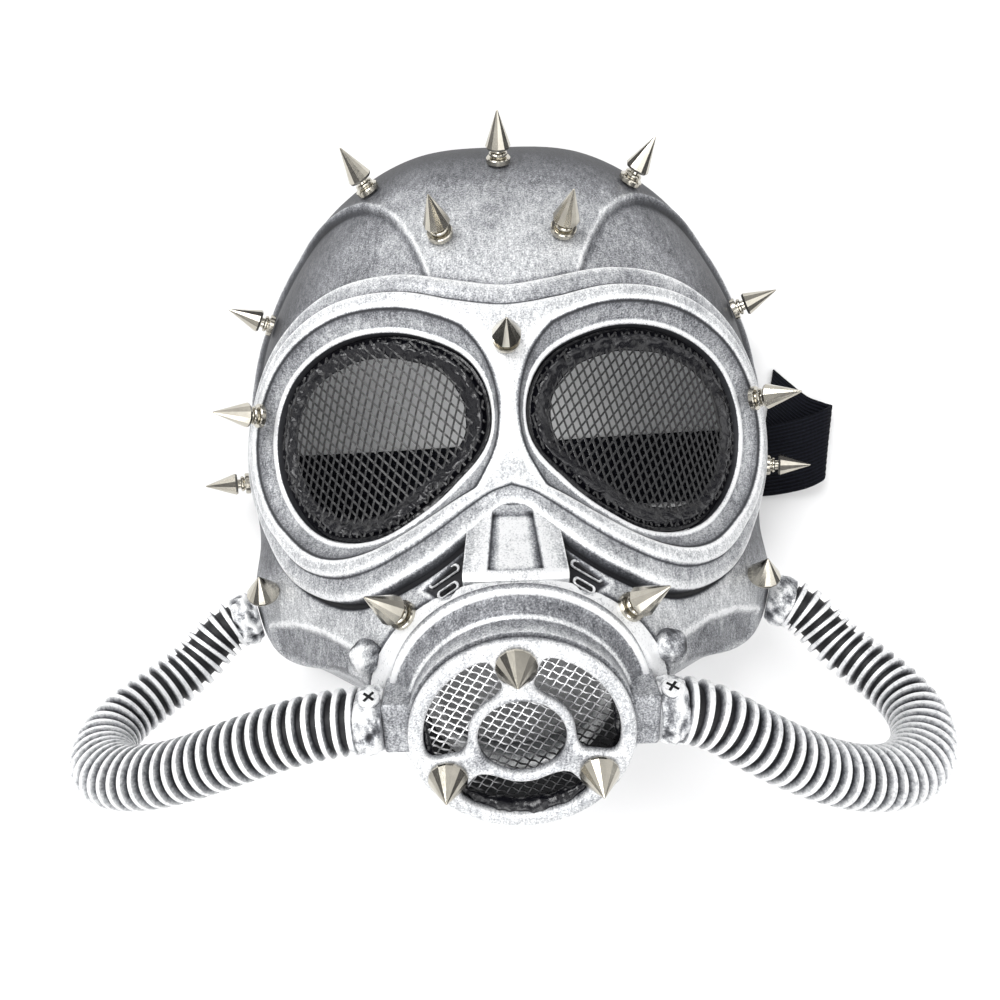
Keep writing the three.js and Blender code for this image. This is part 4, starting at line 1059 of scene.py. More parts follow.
@dataclass
class EyeMesh:
    """Domed expanded metal in an eye opening, with the ring of glue that holds it.

    The strands' steps give one side of a cell each, written for the eye as it lies in the picture.
    """

    left_steps: tuple = ((1.68, -1.68), (0.67, 2.55))
    right_steps: tuple = ((-1.45, -1.6), (-0.75, 2.5))
    strand: float = 0.5
    thick: float = 0.34
    sink: float = 1.7
    samples: int = 60
    bead_turns: int = 260
    bead_sides: int = 22

    def level(self, x: Array, y: Array) -> Array:
        """Returns the height of the mesh's own surface, a little domed under the shell's form."""
        return FORM.height(x, y) - self.sink

    def strands(self, steps: tuple) -> tuple[Array, Array]:
        """Points and faces of both families of slanting strands in the right eye.

        Each strand follows a straight line across the opening, cut to it, with a flat four-sided section.
        Near the opening it rises through the glue.

        Args:
            steps: the two sides of a cell.

        Returns:
            Points in mask coordinates and four corner numbers for each face.
        """
        centre = np.array([SIZES.eye_spacing / 2, SIZES.eye_y])
        inset = np.column_stack(FORM.eye_point(turns(160), 1.6))
        points, faces, base = [], [], 0
        for family, (step, other) in enumerate((steps, steps[::-1])):
            direction = np.array(step) / math.hypot(*step)
            across = np.array([-direction[1], direction[0]])
            spacing = abs(across @ np.array(other))
            for k in range(-30, 31):
                origin = centre + across * spacing * k
                along = np.linspace(-46, 46, 1200)
                line = origin + along[:, None] * direction
                inside = distance_inside(inset, line[:, 0], line[:, 1]) > 0
                if inside.sum() < 30:
                    continue
                span = along[inside]
                t = np.linspace(span[0], span[-1], self.samples)
                path = origin + t[:, None] * direction
                depth = distance_inside(inset, path[:, 0], path[:, 1])
                wave = 0.12 * (1 - 2 * family) * np.cos(t * 2 * math.pi / math.hypot(*step))
                z = self.level(path[:, 0], path[:, 1]) + wave + 1.5 * (1 - step_between(depth, 0.5, 5.0))
                base += add_strand(points, faces, base, path, z, across * self.strand / 2, self.thick / 2)
        return np.concatenate(points), np.concatenate(faces)

    def bead(self, side: int) -> Array:
        """Points of the glue ring: flat beside the opening's wall, then a lumpy swell, then thin inwards.

        Args:
            side: 1 on the right, -1 on the left, each with its own lumps.

        Returns:
            Points as loops by sides by three.
        """
        angle = turns(self.bead_turns)
        draw = np.random.default_rng(11 + side)
        wobble = sum(draw.uniform(0.25, 1) / k ** 0.6 * np.sin(k * angle + draw.uniform(0, 6.28))
                     for k in (2, 3, 5, 8, 13, 21, 34)) / 3.2
        width = 6.6 + 1.1 * wobble
        tall = 1.9 + 0.6 * np.roll(wobble, 9)
        inward = np.concatenate([np.linspace(0, 1, self.bead_sides - 4), [0.9, 0.6, 0.3, 0.0]])
        upper = np.arange(self.bead_sides) < self.bead_sides - 4
        swell = step_between(inward, 0.18, 0.42) * (1 - step_between(inward, 0.5, 1.0))
        x, y = FORM.eye_point(angle[:, None], 0.05 + inward[None, :] * width[:, None])
        z = self.level(x, y) - 0.35 + np.where(upper, 0.25 + swell * tall[:, None], -0.35)
        points = np.stack([x, y, z], axis=-1)
        grain = lumps(points, 3.6, 5 + side) + 0.6 * lumps(points, 1.5, 8 + side)
        points[..., 2] += np.where(upper, 0.55 * grain * np.clip(swell + 0.1, 0, 1), 0)
        return points

    def build(self, finishes: Materials) -> None:
        """Makes mesh and glue on both sides."""
        for side, word in ((1, "right"), (-1, "left")):
            steps = self.right_steps if side > 0 else tuple((-x, y) for x, y in self.left_steps)
            points, faces = self.strands(steps)
            wire = make_mesh(f"eye_wire_{word}", points if side > 0 else mirrored(points), faces, sharp=80,
                             weld=1e-9)
            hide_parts(f"eye_mesh_{word}")
            dress(wire, finishes.wire)
            bead = self.bead(side)
            glue = make_mesh(f"glue_ring_{word}", bead if side > 0 else mirrored(bead),
                             grid_faces(self.bead_turns, self.bead_sides, True, True), sharp=180)
            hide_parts(f"eye_bead_{word}")
            dress(glue, finishes.glue)


# Canister

# Section of the canister from its bore at the back, out over the flange, up the can and back inside:
# radius, height above the seat and paint
CAN_SECTION = np.array([
    (21.5, 0.30, 0.10), (30.4, 0.30, 0.15), (30.7, 0.60, 0.35), (30.7, 2.60, 0.70), (30.45, 3.05, 1.00),
    (29.9, 3.30, 1.00), (29.3, 3.25, 0.95), (28.95, 3.10, 0.45), (28.2, 3.70, 0.36), (27.2, 4.75, 0.38),
    (26.3, 5.90, 0.42), (25.9, 6.45, 0.85), (25.55, 6.75, 0.80), (25.4, 7.10, 0.40), (25.4, 9.00, 0.46),
    (25.4, 10.8, 0.62), (25.4, 11.9, 0.75), (25.4, 12.05, 0.5), (23.0, 12.05, 0.10), (23.0, 9.90, 0.05),
    (21.5, 9.90, 0.05), (21.5, 6.00, 0.05),
])


@dataclass
class Canister:
    """The breathing canister: turned can, side blocks, front grille and the mesh behind it."""

    turns: int = 160
    height: float = 14.8
    grille_thick: float = 2.4
    window: float = 21.5
    hub_outer: float = 12.0
    hub_bore: float = 9.7
    spoke: float = 2.3
    stud_ring: float = 19.2
    stud_angles: tuple = (92.5, 210.0, 331.0)
    pad: float = 4.9
    mesh_level: float = 10.8
    cell_wide: float = 2.3
    cell_tall: float = 1.8
    strand: float = 0.26
    strand_rise: float = 0.18
    mesh_radius: float = 22.6
    plate_radius: float = 24.9
    glue_radius: float = 21.4
    block_low: tuple = (24.2, -5.5, 0.3)
    block_high: tuple = (30.7, 7.5, 11.5)

    def can(self, finishes: Materials) -> None:
        """Makes the can by turning its section round the axis."""
        angle = turns(self.turns)
        r, z, tone = CAN_SECTION.T
        local = turned_section(np.column_stack([r, z]), angle)
        paint = np.repeat(tone[:, None], self.turns, axis=1)
        # Painted shade: the can's side towards the chin is darker by up to 0.2
        lower = np.clip(-np.sin(angle), 0, 1)[None, :] * 0.2
        piece = make_mesh("canister_can", FORM.on_mouth(local), grid_faces(len(r), self.turns, True, True),
                          np.clip(paint - lower, 0, 1), sharp=40)
        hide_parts("canister_body")
        dress(piece, finishes.silver)

    def block(self, side: int, finishes: Materials) -> None:
        """Makes one square block that carries a hose, with rounded edges."""
        name = "side_block_right" if side > 0 else "side_block_left"
        corner = np.array([self.block_low, self.block_high])
        points = np.array([[corner[i][0] * side, corner[j][1], corner[k][2]] for k in (0, 1)
                           for i, j in ((0, 0), (1, 0), (1, 1), (0, 1))])
        faces = [(0, 3, 2, 1), (4, 5, 6, 7), (0, 1, 5, 4), (1, 2, 6, 5), (2, 3, 7, 6), (3, 0, 4, 7)]
        paint = np.full(len(points), 0.5)
        piece = make_mesh(name, FORM.on_mouth(points), faces, paint)
        edge = piece.modifiers.new("edge", "BEVEL")
        edge.width = 0.0009
        edge.segments = 4
        dress(piece, finishes.silver)

    def plate_distance(self, x: Array, y: Array) -> Array:
        """Distance inside the grille's plan, positive in material.

        It is the rounded union of the outer ring, the hub ring, three spokes and three pads, so the windows
        have soft corners.
        """
        r = np.hypot(x, y)
        shape = r - self.window
        shape = smooth_max(shape, 1.15 - np.abs(r - (self.hub_outer + self.hub_bore) / 2), 2.5)
        for degrees in self.stud_angles:
            a = math.radians(degrees)
            px, py = self.stud_ring * math.cos(a), self.stud_ring * math.sin(a)
            shape = smooth_max(shape, self.pad - np.hypot(x - px, y - py), 1.5)
            ahead = x * math.cos(a) + y * math.sin(a)
            beside = np.abs(y * math.cos(a) - x * math.sin(a))
            spoke = self.spoke - beside - 4 * np.maximum(self.hub_bore - ahead, 0)
            shape = smooth_max(shape, spoke, 4.0)
        return np.where(r < self.hub_bore, np.maximum(r - self.hub_bore, -9), shape)

    def windows(self) -> list[Array]:
        """Returns the outlines of the hub bore and the windows, each found along rays from its middle."""
        outlines = []
        angle = turns(120)
        weight = np.exp(-0.5 * (np.arange(-4, 5) / 1.9) ** 2)
        weight /= weight.sum()
        middles = [(0.0, 0.0)] + [(17 * math.cos(math.radians(d)), 17 * math.sin(math.radians(d)))
                                  for d in (151.0, 270.5, 32.0)]
        for mx, my in middles:
            distance = np.linspace(0, 22, 700)[:, None]
            value = self.plate_distance(mx + distance * np.cos(angle), my + distance * np.sin(angle))
            first = np.argmax(value > 0, axis=0)
            low = distance[first, 0]
            low = np.convolve(np.concatenate([low[-4:], low, low[:4]]), weight, mode="valid")
            outlines.append(np.column_stack([mx + low * np.cos(angle), my + low * np.sin(angle)]))
        return outlines

    def grille(self, finishes: Materials) -> None:
        """Makes the front plate as a filled flat curve with round edges, then lays it on the canister."""
        outer = turns(self.turns)
        rings = [self.plate_radius * np.column_stack([np.cos(outer), np.sin(outer)])] + self.windows()
        curve = bpy.data.curves.new("grille_curve", "CURVE")
        curve.dimensions = "2D"
        curve.fill_mode = "BOTH"
        edge = 0.75
        curve.extrude = (self.grille_thick / 2 - edge)
        curve.bevel_depth = edge
        curve.bevel_resolution = 3
        curve.offset = -edge
        for ring in rings:
            spline = curve.splines.new("POLY")
            spline.points.add(len(ring) - 1)
            places = np.column_stack([ring, np.zeros(len(ring)), np.ones(len(ring))])
            spline.points.foreach_set("co", places.ravel())
            spline.use_cyclic_u = True
        carrier = bpy.data.objects.new("grille_curve", curve)
        bpy.context.scene.collection.objects.link(carrier)
        bpy.context.view_layer.update()
        flat = bpy.data.meshes.new_from_object(carrier.evaluated_get(bpy.context.evaluated_depsgraph_get()))
        bpy.data.objects.remove(carrier)
        count = len(flat.vertices)
        local = np.empty(count * 3)
        flat.vertices.foreach_get("co", local)
        local = local.reshape(-1, 3)
        faces = [list(face.vertices) for face in flat.polygons]
        local[:, 2] += self.height - self.grille_thick / 2
        depth = self.plate_distance(local[:, 0], local[:, 1])
        outer_edge = bell(np.hypot(local[:, 0], local[:, 1]) - self.plate_radius + 0.3, 0.9)
        paint = 0.5 + 0.3 * bell(depth, 1.1) + 0.3 * outer_edge
        paint -= 0.38 * (local[:, 2] < self.height - 1.4)
        piece = make_mesh("grille_plate", FORM.on_mouth(local), [], np.clip(paint, 0, 1), caps=faces,
                          weld=1e-6)
        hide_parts("canister_grille")
        dress(piece, finishes.silver)
        bpy.data.meshes.remove(flat)

    def mesh(self, finishes: Materials) -> None:
        """Makes the wide-celled mesh behind the grille, as two families of flat strands."""
        cell = math.hypot(self.cell_wide, self.cell_tall)
        points, faces, base = [], [], 0
        for family, degrees, spacing in ((1, -27.0, 1.8), (-1, 58.0, 2.15)):
            a = math.radians(degrees)
            direction = np.array([math.cos(a), math.sin(a)])
            across = np.array([-direction[1], direction[0]])
            for k in range(-14, 15):
                offset = spacing * k
                reach = self.mesh_radius ** 2 - offset ** 2
                if reach <= 4:
                    continue
                t = np.linspace(-math.sqrt(reach), math.sqrt(reach), 90)
                turn = t * 2 * math.pi / cell + k * math.pi
                sway = (family > 0) * 0.1 * np.sin(turn)
                path = across * offset + t[:, None] * direction + sway[:, None] * across
                z = self.mesh_level + 0.12 * family * np.cos(turn)
                base += add_strand(points, faces, base, path, z, across * self.strand / 2, self.strand_rise)
        local = np.concatenate(points)
        # The tone darkens evenly across the mesh towards minus y and plus x
        tone = np.clip(0.5 + (local[:, 1] - local[:, 0] * 0.6) / 32, 0, 1)
        piece = make_mesh("mouth_mesh", FORM.on_mouth(local), np.concatenate(faces), tone, sharp=80,
                          weld=1e-9)
        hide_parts("canister_mesh")
        dress(piece, finishes.silver_wire)

    def glue(self, name: str, low: float, high: float, thick: float, seed: int, finishes: Materials) -> None:
        """Makes an uneven crescent of black glue between the mesh and the ring, thinning to both ends.

        Args:
            name: the piece's name.
            low: where it starts round the axis, in degrees.
            high: where it ends, in degrees.
            thick: its radius in the middle.
            seed: which lumps.
            finishes: the mask's materials.
        """
        share = np.linspace(0, 1, 90)
        angle = np.radians(low + (high - low) * share)
        swell = thick * np.clip(4 * share * (1 - share), 0.03, 1) ** 0.5
        swell = swell * (1 + 0.25 * lumps(np.column_stack([share * 30, share, share]), 4.0, seed))
        path = np.stack([self.glue_radius * np.cos(angle), self.glue_radius * np.sin(angle),
                         self.mesh_level + 0.5 + 0.2 * swell], axis=-1)
        points = tube_rings(FORM.on_mouth(path), swell, 20)
        points = points + 0.3 * lumps(points, 2.2, seed + 1)[..., None] * np.array([0, 0, 1])
        piece = make_mesh(name, points, grid_faces(len(share), 20, False, True),
                          caps=ring_caps(len(share), 20), sharp=180)
        dress(piece, finishes.glue)

    def build(self, finishes: Materials) -> None:
        """Makes every part of the canister."""
        self.can(finishes)
        for side in (1, -1):
            self.block(side, finishes)
        self.grille(finishes)
        self.mesh(finishes)
        self.glue("mouth_glue_low", 222, 322, 1.9, 51, finishes)
        self.glue("mouth_glue_left", 172, 203, 1.0, 53, finishes)
        self.glue("mouth_glue_right", -6, 18, 0.9, 57, finishes)


# Spikes

# Sections from the foot to where the cone starts: radius and height as shares of the piece's radius
TREE_FOOT = np.array([
    (0.90, 0.0), (0.96, 0.04), (0.96, 0.33), (0.90, 0.40), (0.58, 0.42), (0.58, 0.48), (0.66, 0.51),
    (0.72, 0.58), (0.72, 0.68), (0.66, 0.75), (0.46, 0.77), (0.44, 1.0),
])


@dataclass
class Spikes:
    """Every screwed-on spike and cone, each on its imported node's own axis."""

    sides: int = 48
    facets: int = 12
    stud_facets: int = 16
    cone_share: float = 0.723

    @staticmethod
    def axis_of(node: str) -> tuple[Array, Array, float, float]:
        """Foot, direction, length and radius of a turned node in mask coordinates.

        The tip is the corner farthest from the middle of all corners, and the axis runs from there to it.

        Args:
            node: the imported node's name.

        Returns:
            The foot's middle, the unit direction to the tip, the length and the largest radius.
        """
        corners = np.unique(np.round(packed_corners(node), 3), axis=0) - SHIFT
        middle = corners.mean(axis=0)
        away = corners - middle
        tip = corners[np.argmax(np.linalg.norm(away, axis=1))]
        direction = tip - middle
        direction /= np.linalg.norm(direction)
        along = away @ direction
        length = along.max() - along.min()
        radius = np.linalg.norm(away - along[:, None] * direction, axis=1).max()
        return tip - direction * length, direction, length, radius

    def lay(self, local: Array, foot: Array, direction: Array) -> Array:
        """Returns local points, with z up the piece, laid on its axis."""
        side = np.cross(direction, (0.3, 0.9, 0.2))
        side /= np.linalg.norm(side)
        other = np.cross(direction, side)
        return foot + local[..., :1] * side + local[..., 1:2] * other + local[..., 2:] * direction

    def tree(self, node: str, finishes: Materials) -> None:
        """Makes a spike with its round foot, groove and neck, and its long faceted cone."""
        foot, direction, length, radius = self.axis_of(node)
        cone = length * self.cone_share
        base = length - cone
        section = TREE_FOOT * (radius, base)
        round_part = turned_section(section, turns(self.sides))
        chamfer = np.array([
            (0.42, base * 0.99), (0.9, base + 0.1), (1.0, base + 0.75), (0.07, length - 0.15), (0.02, length),
        ])
        chamfer[:, 0] *= radius
        faceted = turned_section(chamfer, turns(self.facets))
        points = np.concatenate([round_part.reshape(-1, 3), faceted.reshape(-1, 3)])
        rows = len(section)
        faces = grid_faces(rows, self.sides, False, True).tolist()
        shift = rows * self.sides
        faces += (grid_faces(len(chamfer), self.facets, False, True) + shift).tolist()
        ends = ring_caps(len(chamfer), self.facets)
        caps = ring_caps(rows, self.sides) + [[c + shift for c in cap] for cap in ends]
        piece = make_mesh(f"{node}_screw", self.lay(points, foot, direction), faces, caps=caps, sharp=18)
        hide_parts(node)
        dress(piece, finishes.nickel)

    def stud(self, node: str, finishes: Materials) -> None:
        """Makes a plain faceted cone with a small round edge at its foot."""
        foot, direction, length, radius = self.axis_of(node)
        section = np.array([(radius * 0.97, 0.0), (radius, 0.35), (radius * 0.985, 0.8), (0.12, length)])
        rows, columns = len(section), self.stud_facets
        points = turned_section(section, turns(columns))
        piece = make_mesh(f"{node}_cone", self.lay(points, foot, direction),
                          grid_faces(rows, columns, False, True), caps=ring_caps(rows, columns), sharp=14)
        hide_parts(node)
        dress(piece, finishes.nickel)

    def build(self, finishes: Materials) -> None:
        """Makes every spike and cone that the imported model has."""
        for node in sorted(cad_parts):
            if node.startswith("spike_"):
                self.tree(node, finishes)
            elif node.startswith("stud_"):
                self.stud(node, finishes)


# Hoses

# Each hose between its straight ends, written as on the right: by how many diameters each point lies off an
# even step
HOSE_ROUTES = {
    "right": np.array([
        (0.66, -0.52, -0.09), (1.29, -0.78, -0.09), (1.9, -1.01, -0.01), (2.39, -1.25, 0.11),
        (2.63, -1.48, 0.29), (2.57, -1.68, 0.48), (2.24, -1.73, 0.59), (1.68, -1.52, 0.6),
        (1.05, -1.1, 0.49), (0.48, -0.54, 0.29),
    ]),
    "left": np.array([
        (0.65, -0.5, -0.09), (1.31, -0.74, -0.09), (1.98, -0.93, -0.01), (2.55, -1.12, 0.11),
        (2.86, -1.3, 0.29), (2.84, -1.41, 0.5), (2.46, -1.33, 0.61), (1.8, -1.04, 0.6),
        (1.07, -0.6, 0.49), (0.46, -0.23, 0.29),
    ]),
}


@dataclass
class Hoses:
    """Two corrugated hoses that loop from the jaw to the canister, with their sockets and glue."""

    diameter: float = 15.0
    groove: float = 5.6
    pitch: float = 3.05
    lead: float = 4.0
    clearance: float = 0.3
    jaw: tuple = (0.84, -0.424)
    jaw_length: float = 6.0
    socket_start: float = 31.0
    socket_length: float = 4.5
    socket_offset: float = 1.0
    socket_height: float = 7.6
    sides: int = 40
    ease: float = 5.0

    def on_jaw(self, lifts: tuple) -> Array:
        """Returns the places on the jaw socket's axis at these lifts."""
        jx, jy = self.jaw[0] * SIZES.half_width, self.jaw[1] * SIZES.chin_reach
        return np.array([FORM.point(np.array(jx), np.array(jy), np.array(lift)) for lift in lifts])

    def beside_can(self, distances: tuple) -> Array:
        """Returns the places on the canister socket's axis at these distances from the middle."""
        return FORM.on_mouth(np.array([(v, self.socket_offset, self.socket_height) for v in distances]))

    def route(self, rows: Array) -> Array:
        """Returns a hose's centreline, drawn on the right, in mask coordinates and evenly spaced."""
        seat = self.jaw_length + 2 * self.clearance
        start, after = self.on_jaw((seat, seat + self.lead))
        far = self.socket_start + self.socket_length + self.clearance
        end, before = self.beside_can((far, far + self.lead))
        share = (np.arange(len(rows)) + 1)[:, None] / (len(rows) + 1)
        middle = after + (before - after) * share + rows * self.diameter
        knots = np.concatenate([[start, after], middle, [before, end]])
        return self.even(self.eased(self.even(self.centripetal(knots), 1.0)), 1.0)

    def eased(self, path: Array) -> Array:
        """Returns a path with its sharp turns eased, by a bell-shaped mean over its neighbours.

        The path is carried on past both ends as its own point reflection, so that the ends stay.
        """
        count = int(3 * self.ease)
        before = 2 * path[0] - path[count:0:-1]
        after = 2 * path[-1] - path[-2:-count - 2:-1]
        weight = np.exp(-0.5 * (np.arange(-count, count + 1) / self.ease) ** 2)
        weight /= weight.sum()
        whole = np.concatenate([before, path, after])
        return np.column_stack([np.convolve(whole[:, c], weight, mode="valid") for c in range(3)])

    @staticmethod
    def centripetal(knots: Array) -> Array:
        """Returns a dense curve through the knots, with parameter gaps of the root of their distances."""
        first = 2 * knots[0] - knots[1]
        last = 2 * knots[-1] - knots[-2]
        p = np.concatenate([[first], knots, [last]])
        pieces = []
        t = np.linspace(0, 1, 24, endpoint=False)[:, None]
        for p0, p1, p2, p3 in zip(p, p[1:], p[2:], p[3:]):
            d0, d1, d2 = (math.sqrt(np.linalg.norm(b - a)) for a, b in ((p0, p1), (p1, p2), (p2, p3)))
            v1 = ((p1 - p0) / d0 - (p2 - p0) / (d0 + d1) + (p2 - p1) / d1) * d1
            v2 = ((p2 - p1) / d1 - (p3 - p1) / (d1 + d2) + (p3 - p2) / d2) * d1
            pieces.append((2 * t ** 3 - 3 * t ** 2 + 1) * p1 + (t ** 3 - 2 * t ** 2 + t) * v1
                          + (3 * t ** 2 - 2 * t ** 3) * p2 + (t ** 3 - t ** 2) * v2)
        return np.concatenate(pieces + [knots[-1:]])

    @staticmethod
    def even(path: Array, step: float) -> Array:
        """Returns a path sampled again at about even steps."""
        along = np.concatenate([[0], np.cumsum(np.linalg.norm(np.diff(path, axis=0), axis=1))])
        places = np.linspace(0, along[-1], int(along[-1] / step) + 1)
        return np.column_stack([np.interp(places, along, path[:, c]) for c in range(3)])

    def build(self, finishes: Materials) -> None:
        """Makes both hoses."""
        for side, word in ((1, "right"), (-1, "left")):
            centre = self.route(HOSE_ROUTES[word])
            length = float(np.linalg.norm(np.diff(centre, axis=0), axis=1).sum())
            fine = self.even(centre, self.pitch / 9)
            rings = round(length / self.pitch)
            phase = np.linspace(0, rings, len(fine))
            crest = 0.5 + 0.5 * np.cos(2 * math.pi * (phase - 0.5))
            shape = step_between(crest, 0.4, 0.78)
            radius = self.groove + (self.diameter / 2 - self.groove) * shape
            paint = step_between(shape, 0.55, 0.95) * 0.92
            path = fine if side > 0 else mirrored(fine)
            points = tube_rings(path, radius, self.sides)
            tone = np.repeat(paint[:, None], self.sides, axis=1)
            hose = make_mesh(f"corrugated_hose_{word}", points,
                             grid_faces(len(fine), self.sides, False, True), tone,
                             caps=ring_caps(len(fine), self.sides), sharp=60)
            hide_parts(f"hose_{word}")
            dress(hose, finishes.hose)
            LOG.info("%s hose %.1f mm, %d rings", word, length, rings)


@dataclass
class GluedEnds:
    """The sockets at the hose ends and the bosses beside the canister, lumpy with painted-over glue."""

    jaw_radii: tuple = (6.0, 7.4, 7.7, 7.5, 6.6)
    can_radii: tuple = (6.4, 7.2, 7.5, 7.4, 6.6)

    def sleeve(self, node: str, name: str, ends: Array, radii: tuple, seed: int,
               finishes: Materials) -> None:
        """Makes a lumpy round sleeve along a straight axis.

        Args:
            node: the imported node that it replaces.
            name: the piece's name.
            ends: where its axis starts and ends, in mask coordinates.
            radii: its radius at even steps along the axis.
            seed: which lumps.
            finishes: the mask's materials.
        """
        rows, columns = 30, 72
        share = np.linspace(0, 1, rows)
        path = ends[0] + (ends[1] - ends[0]) * share[:, None]
        radius = np.interp(share, np.linspace(0, 1, len(radii)), radii)
        points = tube_rings(path, radius, columns)
        bumps = lumps(points, 4.0, seed) + 0.5 * lumps(points, 1.7, seed + 1)
        out = points - path[:, None]
        out /= np.linalg.norm(out, axis=-1, keepdims=True)
        points = points + out * 0.45 * bumps[..., None]
        paint = np.clip(0.72 + 0.42 * bumps, 0, 1)
        piece = make_mesh(name, points, grid_faces(rows, columns, False, True), paint,
                          caps=ring_caps(rows, columns), sharp=180)
        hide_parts(node)
        dress(piece, finishes.silver)

    def ball(self, node: str, name: str, seed: int, finishes: Materials) -> None:
        """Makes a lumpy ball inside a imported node's box.

        Args:
            node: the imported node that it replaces.
            name: the piece's name.
            seed: which lumps.
            finishes: the mask's materials.
        """
        low, high = (np.array(v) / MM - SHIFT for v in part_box(node))
        middle, half = (low + high) / 2, (high - low) / 2
        around, up = np.meshgrid(turns(64), np.linspace(0.06, math.pi - 0.06, 36), indexing="xy")
        unit = np.stack([np.sin(up) * np.cos(around), np.sin(up) * np.sin(around), np.cos(up)], axis=-1)
        points = middle + unit * half
        bumps = lumps(points, 4.5, seed) + 0.5 * lumps(points, 1.8, seed + 1)
        points = points + unit * (bumps * 0.25)[..., None]
        # Painted light: the top of the ball gets more paint than its sides, standing in for light from above
        paint = np.clip(0.35 + 0.35 * step_between(unit[..., 2], 0.2, 1) + 0.3 * bumps, 0, 1)
        rows, columns = paint.shape
        piece = make_mesh(name, points, grid_faces(rows, columns, False, True), paint,
                          caps=ring_caps(rows, columns), sharp=180)
        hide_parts(node)
        dress(piece, finishes.silver)

    def build(self, finishes: Materials) -> None:
        """Makes the pieces on both sides."""
        hose = Hoses()
        jaw = hose.on_jaw((0.2, hose.jaw_length + 1.5))
        far = hose.socket_start + hose.socket_length
        can = hose.beside_can((hose.socket_start - 0.3, far + 1.2))
        for i, word in enumerate(("right", "left")):
            turned = (lambda points: points) if word == "right" else mirrored
            self.sleeve(f"hose_socket_jaw_{word}", f"jaw_glue_{word}", turned(jaw), self.jaw_radii, 20 + i,
                        finishes)
            self.sleeve(f"hose_socket_canister_{word}", f"canister_glue_{word}", turned(can),
                        self.can_radii, 30 + i, finishes)
            self.ball(f"hose_boss_{word}", f"ball_boss_{word}", 40 + i, finishes)


# Strap

# Route of the strap: x as a share of the half width, y in band widths, lift in arch heights, heading in
# degrees
STRAP_ROUTE = np.array([
    (-0.896, -0.16, 3.52, -6), (-0.914, -0.16, 2.02, -6), (-0.903, -0.16, 0.62, -5),
    (-0.831, -0.16, 0.1, -2), (-0.437, -0.14, 0.07, -3), (0.0, -0.09, 0.07, -4), (0.492, -0.03, 0.07, -6),
    (0.86, 0.0, 0.07, -7),
    (0.955, 0.01, 0.08, -7), (1.038, 0.03, 0.6, -7), (1.137, 0.1, 1.5, -3), (1.208, 0.2, 1.95, 3),
    (1.24, 0.28, 1.3, 9), (1.222, 0.34, 0.45, 12), (1.16, 0.45, 0.1, 13), (1.09, 0.67, 0.07, 12),
    (1.04, 0.85, 0.07, 10),
])


@dataclass
class HeadStrap:
    """Flat elastic across the open back, with its free end beside the right rim."""

    width: float = 25.0
    thick: float = 1.2
    rib: float = 0.12
    clearance: float = 0.3
    steps: int = 420
    across: int = 25

    def build(self, finishes: Materials) -> None:
        knots = STRAP_ROUTE[:, :3] * (SIZES.half_width, self.width, SIZES.arch_height)
        knots[:, 2] += self.clearance + self.thick / 2
        p = np.concatenate([[2 * knots[0] - knots[1]], knots, [2 * knots[-1] - knots[-2]]])
        t = np.linspace(0, len(knots) - 1, self.steps)
        i = np.minimum(t.astype(int), len(knots) - 2)
        u = (t - i)[:, None]
        p0, p1, p2, p3 = p[i], p[i + 1], p[i + 2], p[i + 3]
        path = 0.5 * ((2 * p1) + (p2 - p0) * u + (2 * p0 - 5 * p1 + 4 * p2 - p3) * u ** 2
                      + (3 * p1 - p0 - 3 * p2 + p3) * u ** 3)
        heading = np.radians(SmoothCurve(np.arange(len(knots)), STRAP_ROUTE[:, 3])(t))
        wide = np.column_stack([np.sin(heading), np.cos(heading), np.zeros_like(heading)])
        ahead = np.gradient(path, axis=0)
        thick = np.cross(ahead, wide)
        thick /= np.linalg.norm(thick, axis=1, keepdims=True)
        place = np.linspace(1, -1, self.across)
        rib = 0.5 - 0.5 * np.cos(math.pi * np.arange(self.across))
        half = self.thick / 2 - self.rib + self.rib * rib
        beside = wide[:, None] * place[None, :, None] * self.width / 2
        above = thick[:, None] * half[None, :, None]
        middle = path[:, None]
        points = np.concatenate([middle + beside + above, middle + beside[:, ::-1] - above[:, ::-1]], axis=1)
        along = np.concatenate([[0], np.cumsum(np.linalg.norm(np.diff(path, axis=0), axis=1))])
        u_map = np.concatenate([place, place[::-1]]) / 2 + 0.5
        v_map = np.repeat(along[:, None] * MM, 2 * self.across, 1)
        uv = np.stack([np.tile(u_map, (self.steps, 1)), v_map], axis=-1)
        rows, columns = points.shape[:2]
        piece = make_mesh("elastic_strap", points, grid_faces(rows, columns, False, True),
                          caps=ring_caps(rows, columns), sharp=50, uv=uv)
        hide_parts("head_strap")
        dress(piece, finishes.elastic)


# Surroundings

